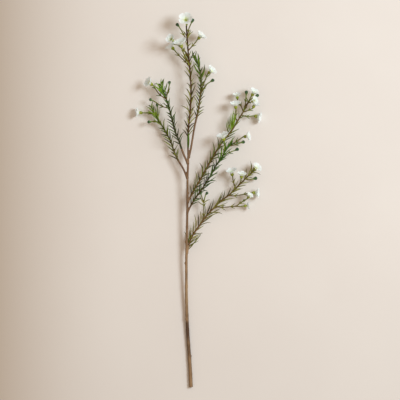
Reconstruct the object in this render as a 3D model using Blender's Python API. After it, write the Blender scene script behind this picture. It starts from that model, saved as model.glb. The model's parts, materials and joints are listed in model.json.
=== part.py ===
"""A cut waxflower stem, lying on a surface. Metres, +Z up, +Y along the stem away from its cut end.

The woody stem lies on a flat of bark near its cut end, and on a petal at either side. Seven leafy
shoots leave it, each with needle leaves, and with stalks that end in green cups and buds. Each
open cup carries a white bloom: five cupped petals round a disc with its style.
"""

import math
import random

import bmesh
import bpy
import numpy as np
from mathutils import Matrix, Vector

MM = 0.001

# Driving sizes
GAP = 0.3 * MM  # between two pieces that meet
BARK_RADII = (3.5 * MM, 2.5 * MM, 1.8 * MM)  # at the cut end, halfway and at the last fork
WOOD_LENGTH = 452 * MM
RING_SPACING = 15 * MM
STUB_SPACING = 12 * MM
STALK_SPACING = 9 * MM
ROUND_SIDES = 5  # of a cup or a bud
STALK_RADIUS = 1.0 * MM
CUP_HEIGHT = 6.0 * MM
CUP_RADIUS = 3.2 * MM
BUD_LENGTH = 8.8 * MM
BUD_RADIUS = 3.1 * MM
PETAL_LENGTH = 12.0 * MM
PETAL_WIDTH = 11.0 * MM
PETAL_THICKNESS = 0.65 * MM
PETAL_ROOT = 1.2 * MM  # from the bloom's middle to where a petal starts
PETAL_RISE = (38, 48)  # degrees over the bloom's own plane
PETALS = 5
DISC_RADIUS = 2.8 * MM
DISC_HEIGHT = 1.1 * MM
STYLE_RADIUS = 0.7 * MM
STYLE_HEIGHT = 3.6 * MM
LEAF_RADIUS = 0.85 * MM
LEAF_SPREAD = 26  # degrees between a needle's foot and its twig
LEAF_BEND = 24  # degrees that it bends out along its length
# Degrees by which a needle may turn round its twig, and lean to it, to find room
NEEDLE_TRIES = ((0, 0), (22, 0), (-22, 0), (0, -10), (40, -5), (-40, -5), (70, 0), (-70, 0))
FLOOR_CLEARANCE = 0.4 * MM
SEED = 7

# The origin is the middle of the flat that the stem rests on. Routes below are millimetres from
# the cut end: across, along and up.
REST_MIDDLE = (-1.4, 30, 0)

STEM_ROUTE = [
    (0, 0, 3.1), (-1.5, 32, 3.0), (-3.7, 66, 3.0), (-6.4, 107, 4.2), (-8.4, 163, 7.6),
    (-8.6, 200, 10), (-8.6, 237, 12.2), (-7.5, 294, 14.8), (-6.9, 331, 16.2), (-6.5, 387, 18.5),
    (-5.2, 424, 20), (-5.6, 452, 21), (-5, 481, 22), (-1.5, 518, 23), (0, 555, 24),
    (-2, 593, 25), (-5.6, 630, 26), (-8.2, 668, 27), (-8.8, 674, 27),
]

# Each shoot: its route from inside the stem, how much of that is bare wood, the twig's radius at
# its foot and tip, the length and spacing of its needles, and their green.
SHOOTS = {
    "centre": {
        "route": STEM_ROUTE, "bare": 452, "radii": (1.8, 1.4), "leaf": 22, "spacing": 10.4,
        "leafless": 22, "thin_from": 150, "green": (0.20, 0.26, 0.10),
    },
    "upper_right": {
        "route": [(-4.7, 428, 20), (0, 447, 19), (5.6, 481, 17.5), (9.4, 499, 17), (13, 514, 17),
                  (16.8, 540, 17), (18.7, 565, 17), (16.8, 589, 17), (11.2, 608, 17), (6, 618, 16.5)],
        "bare": 74, "radii": (1.9, 1.4), "leaf": 20, "spacing": 9.4, "leafless": 4,
        "green": (0.07, 0.19, 0.05),
    },
    "upper_left": {
        "route": [(-5.5, 417, 19.8), (-15, 438, 22), (-22.4, 460, 24), (-30, 479, 25),
                  (-35.5, 501, 25), (-41, 522, 24), (-46.8, 539, 22.5), (-52.4, 553, 21),
                  (-56, 563, 20)],
        "bare": 33, "radii": (1.9, 1.3), "leaf": 20, "spacing": 9.4, "leafless": 10,
        "green": (0.06, 0.19, 0.05),
    },
    "lower_left": {
        "route": [(-6.5, 390, 18.6), (-15, 409, 17), (-24.3, 424.5, 16), (-31.8, 441, 15),
                  (-37.4, 458, 14.3), (-45, 473, 13.6), (-52.4, 486, 13), (-61, 497.5, 12.7),
                  (-67.3, 510, 12.4), (-72.5, 521, 12.2)],
        "bare": 38, "radii": (1.8, 1.2), "leaf": 21, "spacing": 9.0, "leafless": 2,
        "green": (0.07, 0.20, 0.05),
    },
    "long_right": {
        "route": [(-6.5, 345, 16.8), (5.6, 368.5, 16), (16.8, 387, 15), (30, 411, 13.6),
                  (41, 430, 13), (52.4, 449, 13), (63.6, 464, 13.4), (75, 478, 14), (86, 495.5, 15),
                  (97.2, 514, 16.8), (104.7, 529, 18.3), (109, 536, 19)],
        "bare": 12, "radii": (1.8, 1.4), "leaf": 24, "spacing": 10.2, "leafless": 4,
        "thin_from": 140, "green": (0.13, 0.20, 0.06),
    },
    "mid_right": {
        "route": [(-6.9, 327, 16.2), (5.6, 349.5, 20.5), (16.8, 365, 24), (28, 381.5, 26.5),
                  (39.3, 400, 28.3), (48.6, 417, 29.4), (58, 430, 29.8), (65.5, 444, 30),
                  (77, 455.5, 30)],
        "bare": 12, "radii": (1.6, 1.2), "leaf": 22, "spacing": 9.4, "leafless": 3,
        "green": (0.05, 0.17, 0.05),
    },
    "lower_right": {
        "route": [(-8, 250, 12.8), (0, 278, 12.8), (15, 301, 12.6), (32, 323.5, 12.8),
                  (54.2, 346, 13.4), (73, 361, 14), (91.6, 379.5, 15), (114, 402, 15)],
        "bare": 16, "radii": (1.8, 1.3), "leaf": 26, "spacing": 10.0, "leafless": 1,
        "green": (0.13, 0.20, 0.06),
    },
}

# Each stalk: its shoot, what it ends in, that bloom's or bud's size against the driving one, the
# way it faces, and the stalk's route from inside its twig.
STALKS = [
    ("centre", "bloom", 1.25, (-0.1, 0.5, 0.86), [(-8.4, 668, 27), (-8.8, 681, 27.5)]),
    ("centre", "bloom", 0.95, (-0.45, 0.4, 0.8), [(-4.5, 618, 25.7), (-15, 630, 29), (-33, 645.5, 34)]),
    ("centre", "bloom", 1.15, (-0.65, 0.74, 0.15),
     [(-2.5, 598, 25), (-11.2, 608, 22), (-22, 619, 18), (-31, 629.5, 13)]),
    ("centre", "bloom", 1.3, (-0.3, 0.88, 0.36),
     [(-3.6, 607, 25.2), (-9.4, 614, 29), (-14, 623, 33), (-16.5, 632.5, 35)]),
    ("centre", "bloom", 1.05, (0.65, 0.7, 0.3),
     [(-5.5, 628, 26), (0, 634, 25), (7, 642, 23), (12.2, 649, 22)]),
    ("centre", "bud", 1.0, (-0.6, 0.75, 0.1),
     [(-7.8, 647, 26.6), (-11.2, 653, 26.5), (-16.8, 664, 26), (-22, 672.5, 25)]),
    ("centre", "bud", 1.1, (0.4, 0.9, 0.1),
     [(-7.9, 652, 26.7), (-5.5, 660, 28), (-3.7, 669.5, 30), (0.4, 679, 31)]),
    ("upper_right", "bloom", 1.05, (0.7, 0.6, 0.4),
     [(17.8, 552, 17), (20.6, 559, 17.5), (23.5, 566, 18), (31, 585, 18)]),
    ("upper_right", "bud", 1.0, (0.85, 0.5, 0.2),
     [(17.6, 546, 17), (22.4, 556, 20), (29, 565, 23), (36, 570, 25)]),
    ("upper_left", "bloom", 1.1, (-0.75, 0.45, 0.48),
     [(-46.5, 538, 22.6), (-58, 546, 20), (-65.5, 555.5, 18), (-70.5, 563.5, 17)]),
    ("upper_left", "bud", 0.9, (0.1, 0.99, 0.05),
     [(-46, 536, 22.7), (-44.3, 548, 25), (-41.5, 558, 26), (-40.5, 564, 26)]),
    ("upper_left", "bud", 0.9, (-0.9, 0.4, -0.1),
     [(-41, 521, 24), (-54.2, 524.5, 22), (-67.3, 533, 19), (-71, 535, 18)]),
    ("lower_left", "bloom", 0.95, (-0.99, 0.05, 0.1),
     [(-65, 506, 12.5), (-72.9, 510.5, 12), (-81, 512, 10.5), (-89.5, 512.6, 8.3)]),
    ("lower_left", "bud", 0.85, (0, 0.99, 0.05),
     [(-58, 493.5, 12.8), (-62.6, 508, 12.4), (-63, 523, 12)]),
    ("lower_left", "bud", 0.95, (-0.95, -0.1, 0.2),
     [(-55.5, 490, 13), (-65, 495.5, 14), (-71, 496.5, 15), (-73.5, 496, 15.5)]),
    ("long_right", "bloom", 1.0, (0.5, 0.78, 0.38),
     [(107.5, 533.5, 18.8), (110, 538, 19.4), (112.5, 543, 20)]),
    ("long_right", "bloom", 1.05, (-0.1, 0.93, 0.35),
     [(86.5, 496.5, 15), (83.2, 503, 18), (83.5, 511, 21), (83.8, 518.5, 22.5)]),
    ("long_right", "bloom", 0.8, (-0.15, 0.93, 0.33),
     [(97.5, 515, 17), (94, 524, 15.5), (90, 531, 14), (87, 537, 13)]),
    ("long_right", "bloom", 0.75, (0.7, 0.35, 0.62), [(104, 528, 18.3), (108, 531, 27), (112, 532, 34)]),
    ("long_right", "bloom", 0.85, (0.45, 0.85, 0.28),
     [(97, 514, 16.5), (103, 515.5, 16.5), (110, 518.5, 17), (115, 520.5, 17.5)]),
    ("long_right", "bloom", 1.0, (0.96, -0.2, 0.2),
     [(94, 508.5, 16), (101, 506, 13), (110, 506, 10), (117, 507, 7.3)]),
    ("long_right", "bud", 1.0, (0.1, 0.97, 0.2),
     [(100.5, 521.5, 17.6), (101.9, 531, 20), (102.5, 540, 22), (102.8, 545.5, 23)]),
    ("long_right", "bud", 0.95, (0.85, 0.45, -0.1),
     [(107, 533, 18.7), (114, 539, 16.5), (119.5, 542.5, 14)]),
    ("mid_right", "bloom", 1.25, (-0.28, 0.9, 0.33),
     [(63.5, 440.5, 30), (63, 448, 31), (62.8, 454, 31.5), (62.3, 458.5, 31.5)]),
    ("mid_right", "bloom", 0.9, (0.92, 0.15, 0.35),
     [(73, 451.5, 30), (84.2, 458.2, 29.5), (91, 463, 28), (97, 467.3, 27)]),
    ("mid_right", "bud", 1.0, (0.95, 0.25, -0.1),
     [(72, 450.5, 30), (80, 452, 29), (87, 454, 27.5), (92.5, 456.4, 25)]),
    ("mid_right", "bud", 1.0, (0.9, 0.4, 0),
     [(59.5, 432.5, 29.8), (67.3, 436, 30), (76, 440, 29), (81.5, 441.9, 28)]),
    ("lower_right", "bloom", 1.05, (-0.2, 0.9, 0.36),
     [(83.5, 371.5, 14.6), (80.4, 378, 15.5), (78.5, 387, 15.5), (77.7, 393.5, 15.5)]),
    ("lower_right", "bloom", 0.85, (0.15, 0.88, 0.45),
     [(90, 378, 15), (92, 382, 19), (93, 386, 24), (93.3, 389, 26)]),
    ("lower_right", "bloom", 1.0, (0.6, 0.6, 0.52), [(112, 400, 15), (116.4, 404.2, 15.4)]),
    ("lower_right", "bloom", 0.95, (0.97, -0.02, 0.25),
     [(69.5, 358.3, 14), (80, 357.5, 13), (91.6, 359, 12), (104, 361.6, 11.3), (113, 363.2, 11)]),
    ("lower_right", "bloom", 0.7, (0.55, 0.65, 0.5),
     [(45, 337, 13.2), (60, 336, 14), (76.7, 337.5, 15), (84.2, 338.5, 16), (92, 344, 17),
      (104.5, 352, 18.5)]),
    ("lower_right", "bloom", 0.65, (0.95, 0.12, -0.05),
     [(83, 338.3, 15.9), (90, 337.5, 13.5), (97.5, 338.3, 11)]),
    ("lower_right", "bud", 0.7, (0.7, 0.5, -0.3), [(90, 343, 16.8), (94, 345.5, 15), (96.5, 346.8, 14)]),
    ("lower_right", "bud", 1.05, (0.97, 0.2, -0.05),
     [(101, 389, 15), (108, 387.5, 12), (115, 389, 10)]),
    ("lower_right", "bud", 0.85, (0.6, 0.75, 0.1),
     [(21, 309, 12.7), (23.6, 325, 15), (24.3, 346, 18), (27, 359, 18)]),
    ("lower_right", "bud", 0.75, (-0.2, 0.97, -0.1), [(24.3, 345, 17.8), (21, 353, 16.5), (19, 359, 16)]),
]

# Broad young leaves at the shoots' tips: shoot, width, and their route from inside the twig.
BROAD_LEAVES = [
    ("upper_left", 3.4, [(-52, 551, 21.2), (-58.5, 561, 22), (-65, 569, 21.5)]),
    ("upper_left", 3.0, [(-53, 555, 20.8), (-52.5, 566, 23), (-50, 577, 24)]),
    ("upper_left", 2.8, [(-47.5, 541, 22.4), (-57, 554, 26), (-61, 565, 28)]),
    ("upper_left", 3.8, [(-50, 545, 22.6), (-60, 556, 27), (-69, 563, 29)]),
    ("upper_right", 3.6, [(18.4, 575, 17), (24, 590, 20), (25.5, 603, 22)]),
    ("upper_right", 3.4, [(17.5, 583, 17), (9, 594, 20), (4, 606, 22)]),
    ("upper_right", 4.2, [(14, 600, 17), (14.5, 612, 19), (12.5, 624, 18)]),
    ("upper_right", 3.6, [(8, 612, 17), (4, 620, 16.5), (2.5, 629, 15)]),
    ("mid_right", 2.6, [(68, 447, 30), (76, 461, 32), (83, 469, 31)]),
    ("long_right", 3.6, [(75, 478, 14), (69.5, 491, 17.5), (70.7, 504, 19)]),
    ("long_right", 3.8, [(77, 482, 14.3), (74, 498, 18), (75.5, 514, 19)]),
    ("long_right", 3.6, [(79, 486, 14.3), (80, 502, 20), (80.5, 516, 22)]),
    ("lower_right", 1.9, [(24.2, 344, 17.8), (30, 349, 20), (36, 350.5, 20)]),
    ("lower_right", 1.9, [(24.2, 343, 17.8), (19, 351, 20), (16, 358, 20.5)]),
    ("lower_right", 1.9, [(24.2, 340, 17.5), (18, 343, 16), (12, 348, 15)]),
]

# Old leaf bases and knots on the bark: distance along the stem, and degrees round it.
KNOTS = [(58, -12), (128, 150), (232, 186), (272, 176), (363, 20), (401, 160)]

scene = bpy.context.scene
placed = {"owner": [], "centre": [], "radius": []}


def clear_scene():
    for obj in list(bpy.data.objects):
        bpy.data.objects.remove(obj)


def point(route_point):
    """A route's point, in metres from the origin."""
    return (Vector(route_point) - Vector(REST_MIDDLE)) * MM


def new_collection(name):
    collection = bpy.data.collections.new(name)
    scene.collection.children.link(collection)
    return collection


def new_material(name, colour, roughness):
    material = bpy.data.materials.new(name)
    material.use_nodes = True
    shader = material.node_tree.nodes["Principled BSDF"]
    shader.inputs["Base Color"].default_value = (*colour, 1)
    shader.inputs["Roughness"].default_value = roughness
    shader.inputs["Metallic"].default_value = 0
    return material


def object_of(mesh, name, collection):
    obj = bpy.data.objects.new(name, mesh)
    collection.objects.link(obj)
    return obj


def mesh_of(bm, name):
    bmesh.ops.recalc_face_normals(bm, faces=bm.faces)
    if bm.calc_volume(signed=True) < 0:
        bmesh.ops.reverse_faces(bm, faces=bm.faces)
    mesh = bpy.data.meshes.new(name)
    bm.to_mesh(mesh)
    bm.free()
    return mesh


# Routes


def smooth_route(points, spacing):
    """Points about `spacing` apart on a smooth curve through the route's own points."""
    ends = [2 * points[0] - points[1], *points, 2 * points[-1] - points[-2]]
    dense = [points[0]]
    for before, start, end, after in zip(ends, ends[1:], ends[2:], ends[3:]):
        for step in range(1, 13):
            t = step / 12
            bend = (2 * before - 5 * start + 4 * end - after) * t * t
            bend += (3 * start - before - 3 * end + after) * t * t * t
            dense.append(start + ((end - before) * t + bend) / 2)
    travelled = np.cumsum([0] + [(b - a).length for a, b in zip(dense, dense[1:])])
    count = max(2, round(travelled[-1] / spacing) + 1)
    wanted = np.linspace(0, travelled[-1], count)
    columns = [np.interp(wanted, travelled, [p[axis] for p in dense]) for axis in range(3)]
    return [Vector(p) for p in zip(*columns)]


def stretch_of(route, start, end, spacing):
    """The stretch of a smooth route between two distances from its foot, and its points there."""
    fine = smooth_route(route, 1 * MM)
    step = sum((b - a).length for a, b in zip(fine, fine[1:])) / (len(fine) - 1)
    length = step * (len(fine) - 1)
    end = length if end is None else end
    count = max(2, round((end - start) / spacing) + 1)
    places = np.linspace(start, end, count) / step
    whole = np.arange(len(fine))
    columns = [np.interp(places, whole, [p[axis] for p in fine]) for axis in range(3)]
    return [Vector(p) for p in zip(*columns)]


def tube(name, route, radii, sides, collection):
    """A closed tube along a route, with a radius at each point: a bevelled curve, made a mesh."""
    curve = bpy.data.curves.new(name, "CURVE")
    curve.dimensions = "3D"
    curve.bevel_depth = max(radii)
    curve.bevel_resolution = sides // 2 - 2
    curve.use_fill_caps = True
    spline = curve.splines.new("POLY")
    spline.points.add(len(route) - 1)
    for place, at, radius in zip(spline.points, route, radii):
        place.co = (*at, 1)
        place.radius = radius / max(radii)
    guide = object_of(curve, name, collection)
    bpy.context.view_layer.update()
    shape = guide.evaluated_get(bpy.context.evaluated_depsgraph_get())
    bm = bmesh.new()
    bm.from_mesh(bpy.data.meshes.new_from_object(shape))
    bmesh.ops.remove_doubles(bm, verts=bm.verts, dist=0.001 * MM)
    obj = object_of(mesh_of(bm, name), name + "_tube", collection)
    obj.matrix_world = guide.matrix_world
    bpy.data.objects.remove(guide)
    return obj


# What is placed is kept as small balls, so that a leaf finds room between other pieces.


def keep(owner, points, radius):
    placed["owner"] += [owner] * len(points)
    placed["centre"] += [tuple(p) for p in points]
    placed["radius"] += [radius] * len(points)


def has_room(owner, points, radius):
    """Whether a piece along these points stays off the surface and off every other node."""
    if min(p.z for p in points) - radius < FLOOR_CLEARANCE:
        return False
    others = np.array([name != owner for name in placed["owner"]])
    if not others.any():
        return True
    centres = np.array(placed["centre"])[others]
    reach = np.array(placed["radius"])[others] + radius + GAP
    for p in points:
        if (((centres - np.array(p)) ** 2).sum(axis=1) < reach**2).any():
            return False
    return True


# Shapes


def turned(profile, sides):
    """A closed solid turned about Z from (radius, height) points that start and end on the axis."""
    bm = bmesh.new()
    verts = [bm.verts.new((radius, 0, height)) for radius, height in profile]
    edges = [bm.edges.new(pair) for pair in zip(verts, verts[1:])]
    bmesh.ops.spin(
        bm, geom=verts + edges, axis=(0, 0, 1), cent=(0, 0, 0), angle=2 * math.pi, steps=sides,
        use_merge=True,
    )
    bmesh.ops.remove_doubles(bm, verts=bm.verts, dist=0.001 * MM)
    return bm


def facing_frame(at, facing, turn=0.0):
    """The placement that stands a shape's +Z along `facing`, turned about it."""
    face = Vector(facing).normalized()
    stand = face.to_track_quat("Z", "Y").to_matrix().to_4x4()
    return Matrix.Translation(at) @ stand @ Matrix.Rotation(turn, 4, "Z")


def cup(size, at, facing, collection):
    """The green cup under a bloom, flat on top where the bloom sits."""
    bm = turned(
        [(0, 0), (0.6 * MM, 0), (0.6 * CUP_RADIUS * size, 0.3 * CUP_HEIGHT),
         (CUP_RADIUS * size, 0.85 * CUP_HEIGHT), (0.93 * CUP_RADIUS * size, CUP_HEIGHT),
         (0, CUP_HEIGHT)],
        ROUND_SIDES,
    )
    bmesh.ops.transform(bm, matrix=facing_frame(at, facing), verts=bm.verts)
    return object_of(mesh_of(bm, "cup"), "cup", collection)


def bud(size, at, facing, collection):
    """A closed bud: a pear with its widest part above the middle."""
    length = BUD_LENGTH * size
    wide = BUD_RADIUS * size
    bm = turned(
        [(0, 0), (0.6 * MM, 0), (0.6 * wide, 0.3 * length), (wide, 0.68 * length),
         (0.7 * wide, 0.92 * length), (0, length)],
        ROUND_SIDES,
    )
    bmesh.ops.transform(bm, matrix=facing_frame(at, facing), verts=bm.verts)
    return object_of(mesh_of(bm, "bud"), "bud", collection)


def petal(size, turn, rise, collection):
    """One petal about the bloom's own Z: a rounded blade, narrow at its foot and cupped."""
    bm = bmesh.new()
    bmesh.ops.create_cone(
        bm, cap_ends=True, cap_tris=True, segments=7, radius1=1, radius2=1, depth=1,
        matrix=Matrix.Rotation(-math.pi / 2, 4, "Z"),
    )
    for vert in bm.verts:
        along = (1 - vert.co.x) / 2
        across = vert.co.y * PETAL_WIDTH / 2 * size * (0.26 + 1.06 * along)
        out = (PETAL_ROOT + PETAL_LENGTH * math.cos(rise) * along) * size
        lift = PETAL_LENGTH * size * (math.sin(rise) * along - 0.1 * along**4) + 0.14 * abs(across)
        vert.co = (out, across, lift + vert.co.z * PETAL_THICKNESS)
    bmesh.ops.transform(bm, matrix=Matrix.Rotation(turn, 4, "Z"), verts=bm.verts)
    return object_of(mesh_of(bm, "petal"), "petal", collection)


def needle_path(root, axis, outward, length, spread, bend):
    """Points along a needle that leaves its twig at an angle and bends out towards its tip."""
    turns = [math.radians(spread), math.radians(spread + bend)]
    ways = [axis * math.cos(a) + outward * math.sin(a) for a in turns]
    middle = root + ways[0] * length / 2
    tip = middle + ways[1] * length / 2
    marks = [step / 13 for step in range(14)]
    return [root.lerp(middle, t).lerp(middle.lerp(tip, t), t) for t in marks]


def blade(path, width, collection):
    """A three-sided leaf along a path: a foot, a bend and a tip, keeled below and flat above."""
    bm = bmesh.new()
    bmesh.ops.create_cone(bm, cap_ends=True, segments=3, radius1=1, radius2=0, depth=1)
    everything = [*bm.verts, *bm.edges, *bm.faces]
    bmesh.ops.bisect_plane(bm, geom=everything, plane_co=(0, 0, -0.05), plane_no=(0, 0, 1))
    for vert in bm.verts:
        along = vert.co.z + 0.5
        place = along * (len(path) - 1)
        low = min(int(place), len(path) - 2)
        tangent = (path[low + 1] - path[low]).normalized()
        side = tangent.cross(Vector((0, 0, 1))).normalized()
        up = side.cross(tangent)
        round_it = math.atan2(vert.co.y, vert.co.x)
        half = 0 if along > 0.99 else (0.62 if along < 0.01 else 1.0)
        centre = path[low].lerp(path[low + 1], place - low)
        thick = min(width, 1.1 * LEAF_RADIUS)
        vert.co = centre + half * (side * width * math.sin(round_it) + up * thick * math.cos(round_it))
    return object_of(mesh_of(bm, "blade"), "blade", collection)


def fused(name, pieces, collection, material):
    """One closed body named `name` from overlapping pieces, by one Boolean union on a collection."""
    others = new_collection(name + "_pieces")
    core = pieces[0]
    for piece in pieces[1:]:
        others.objects.link(piece)
    union = core.modifiers.new("joined", "BOOLEAN")
    union.operation = "UNION"
    union.operand_type = "COLLECTION"
    union.collection = others
    union.solver = "MANIFOLD"
    bpy.context.view_layer.update()
    mesh = bpy.data.meshes.new_from_object(core.evaluated_get(bpy.context.evaluated_depsgraph_get()))
    for piece in pieces:
        bpy.data.objects.remove(piece)
    bpy.data.collections.remove(others)
    obj = object_of(mesh, name, collection)
    fill_hollows(obj)
    trim_at_surface(obj)
    mesh.materials.clear()
    mesh.materials.append(material)
    mesh.shade_smooth()
    mesh.set_sharp_from_angle(angle=math.radians(50))
    return obj


def fill_hollows(obj):
    """Keeps the outer shell: the inner one of a hollow that the union sealed goes, and any scrap."""
    bm = bmesh.new()
    bm.from_mesh(obj.data)
    left = set(bm.verts)
    shells = []
    while left:
        shell, edge_of_it = set(), [left.pop()]
        while edge_of_it:
            vert = edge_of_it.pop()
            shell.add(vert)
            near = {edge.other_vert(vert) for edge in vert.link_edges} & left
            left -= near
            edge_of_it += near
        shells.append(shell)
    shells.sort(key=len)
    for shell in shells[:-1]:
        size = max((a.co - b.co).length for a in shell for b in shell) / MM
        print(obj.name, "loses a shell", round(size, 2), "mm across")
        bmesh.ops.delete(bm, geom=list(shell), context="VERTS")
    bm.to_mesh(obj.data)
    bm.free()


def trim_at_surface(obj):
    """What would dip below the surface is pressed flat on it."""
    bm = bmesh.new()
    bm.from_mesh(obj.data)
    if min(vert.co.z for vert in bm.verts) < 0:
        everything = [*bm.verts, *bm.edges, *bm.faces]
        bmesh.ops.bisect_plane(
            bm, geom=everything, plane_co=(0, 0, 0), plane_no=(0, 0, -1), clear_outer=True
        )
        bmesh.ops.holes_fill(bm, edges=[edge for edge in bm.edges if edge.is_boundary])
        bmesh.ops.recalc_face_normals(bm, faces=bm.faces)
    bm.to_mesh(obj.data)
    bm.free()


# The pieces of the stem


def shoot_route(name):
    return [point(p) for p in SHOOTS[name]["route"]]


def woody_stem(collection, guides):
    """The bark from the cut end to the last fork, with a stub for each side shoot and its knots."""
    route = stretch_of([point(p) for p in STEM_ROUTE], 0, WOOD_LENGTH, RING_SPACING)
    marks = np.linspace(0, 1, len(route))
    radii = np.interp(marks, (0, 0.5, 1), BARK_RADII)
    pieces = [tube("bark", route, radii, 8, guides)]
    keep("woody_stem", stretch_of(route, 0, None, 2 * MM), BARK_RADII[0])
    for name, shoot in SHOOTS.items():
        if name == "centre":
            continue
        stub = stretch_of(shoot_route(name), 0, shoot["bare"] * MM, STUB_SPACING)
        foot = shoot["radii"][0] * MM
        widths = [foot * 1.45, foot * 1.12] + [foot] * (len(stub) - 2)
        pieces.append(tube(name + "_stub", stub, widths[: len(stub)], 6, guides))
        keep("woody_stem", stretch_of(stub, 0, None, 1.5 * MM), foot)
    for along, turn in KNOTS:
        at = stretch_of(route, 0, along * MM, along * MM)[-1]
        angle = math.radians(turn)
        bm = bmesh.new()
        bmesh.ops.create_icosphere(bm, subdivisions=1, radius=1.5 * MM)
        bmesh.ops.scale(bm, vec=(1, 1.7, 1), verts=bm.verts)
        reach = 0.92 * float(np.interp(along * MM / WOOD_LENGTH, (0, 0.5, 1), BARK_RADII))
        shift = at + Vector((math.cos(angle), 0, math.sin(angle))) * reach
        bmesh.ops.translate(bm, vec=shift, verts=bm.verts)
        pieces.append(object_of(mesh_of(bm, "knot"), "knot", guides))
    return fused("woody_stem", pieces, collection, new_material("bark", (0.27, 0.19, 0.12), 0.75))


def twig(name, guides):
    """A shoot's bare twig, from just past its stub, and the stretch that bears leaves."""
    shoot = SHOOTS[name]
    start = shoot["bare"] * MM + GAP
    route = stretch_of(shoot_route(name), start, None, RING_SPACING)
    foot, tip = (r * MM for r in shoot["radii"])
    radii = np.linspace(foot, tip, len(route))
    keep("leafy_shoot_" + name, stretch_of(route, 0, None, 1.5 * MM), foot)
    return tube(name + "_twig", route, radii, 6, guides), route


def stalks_of(name, guides, greens):
    """A shoot's stalks with their cups and buds. The blooms are made where the cups open."""
    owner = "leafy_shoot_" + name
    blooms = []
    for shoot, kind, size, facing, route_mm in STALKS:
        if shoot != name:
            continue
        route = smooth_route([point(p) for p in route_mm], STALK_SPACING)
        radii = np.linspace(1.15, 1.0, len(route)) * STALK_RADIUS
        greens.append(tube("stalk", route, radii, 4, guides))
        keep(owner, stretch_of(route, 0, None, 1.5 * MM), STALK_RADIUS)
        face = Vector(facing).normalized()
        sunk = route[-1] - face * 0.3 * MM
        head = [sunk + face * step * MM for step in (1, 3, 4.6)]
        keep(owner, head, CUP_RADIUS if kind == "bloom" else BUD_RADIUS)
        if kind == "bloom":
            greens.append(cup(min(1, 0.35 + 0.65 * size), sunk, face, guides))
            blooms.append((sunk + face * (CUP_HEIGHT + GAP), face, size))
        else:
            greens.append(bud(size, sunk, face, guides))
    return blooms


def bloom(name, at, face, size, draw, collection, guides, material):
    """Five petals, a disc and a style in one body, seated just off its cup."""
    turn = draw.uniform(0, 72)
    rise = math.radians(draw.uniform(*PETAL_RISE))
    bm = turned(
        [(0, 0), (DISC_RADIUS * size, 0.1 * DISC_HEIGHT), (DISC_RADIUS * size, DISC_HEIGHT),
         (STYLE_RADIUS, DISC_HEIGHT * 1.3), (0, STYLE_HEIGHT)],
        PETALS,
    )
    half_way = Matrix.Rotation(math.pi / PETALS, 4, "Z")
    bmesh.ops.transform(bm, matrix=half_way, verts=bm.verts)
    pieces = [object_of(mesh_of(bm, "disc"), "disc", guides)]
    for number in range(PETALS):
        angle = math.radians(360 / PETALS * number + draw.uniform(-4, 4))
        pieces.append(petal(size, angle, rise + math.radians(draw.uniform(-4, 4)), guides))
    for piece in pieces[1:]:
        piece.data.transform(Matrix.Translation((0, 0, 0.5 * DISC_HEIGHT)))
    for piece in pieces:
        piece.data.transform(facing_frame(at, face, math.radians(turn)))
    obj = fused(name, pieces, collection, material)
    corners = [Vector(vert.co) for vert in obj.data.vertices]
    middles = [Vector(face.center) for face in obj.data.polygons]
    keep(name, corners + middles, 1.2 * MM)
    return obj


def leaf_places(route, shoot):
    """Where the pairs of needles stand along a twig: the place, the twig's way, and the fraction.

    Past `thin_from` millimetres, every other pair is left away.
    """
    points = stretch_of(route, shoot["leafless"] * MM, None, shoot["spacing"] * MM)
    for number, at in enumerate(points):
        before, after = points[max(0, number - 1)], points[min(len(points) - 1, number + 1)]
        if number * shoot["spacing"] < shoot.get("thin_from", math.inf) or number % 2:
            yield number, at, (after - before).normalized(), number / (len(points) - 1)


def needles(name, route, draw, guides, greens):
    """Pairs of needles set crosswise. Each turns or straightens until it has room, or is left out."""
    shoot = SHOOTS[name]
    owner = "leafy_shoot_" + name
    left_out = 0
    for number, at, axis, along in leaf_places(route, shoot):
        side = axis.cross(Vector((0, 0, 1))).normalized()
        over = side.cross(axis)
        for half in (0, 180):
            angle = 35 + 90 * (number % 2) + half + draw.uniform(-12, 12)
            length = shoot["leaf"] * MM * draw.uniform(0.82, 1.12) * (1 - 0.35 * along**3)
            spread = LEAF_SPREAD + draw.uniform(-7, 9) - 12 * along**3
            bend = LEAF_BEND + draw.uniform(-16, 14)
            for turn, lean in NEEDLE_TRIES:
                around = math.radians(angle + turn)
                outward = side * math.cos(around) + over * math.sin(around)
                path = needle_path(at, axis, outward, length, spread + lean, bend)
                if has_room(owner, path[3:], LEAF_RADIUS):
                    greens.append(blade(path, LEAF_RADIUS, guides))
                    keep(owner, path[2:], LEAF_RADIUS)
                    break
            else:
                left_out += 1
    return left_out


def broad_leaves(name, guides, greens):
    for shoot, width, route in BROAD_LEAVES:
        if shoot == name:
            path = smooth_route([point(p) for p in route], 1.5 * MM)
            greens.append(blade(path, width * MM / 2, guides))
            keep("leafy_shoot_" + name, path, width * MM / 2)


def build():
    clear_scene()
    parts = new_collection("waxflower_stem")
    guides = new_collection("guides")
    draw = random.Random(SEED)
    stem = woody_stem(parts, guides)
    print(stem.name, len(stem.data.polygons), "faces")
    twigs, greens = {}, {}
    white = new_material("petal", (0.86, 0.87, 0.84), 0.45)
    for name in SHOOTS:
        core, twigs[name] = twig(name, guides)
        greens[name] = [core]
        for number, (at, face, size) in enumerate(stalks_of(name, guides, greens[name]), 1):
            bloom(f"bloom_{name}_{number}", at, face, size, draw, parts, guides, white)
        broad_leaves(name, guides, greens[name])
    for name, shoot in SHOOTS.items():
        left_out = needles(name, twigs[name], draw, guides, greens[name])
        green = new_material(name + "_green", shoot["green"], 0.5)
        obj = fused("leafy_shoot_" + name, greens[name], parts, green)
        print(obj.name, len(greens[name]), "pieces,", left_out, "needles left out")
    bpy.data.collections.remove(guides)


build()
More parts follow.
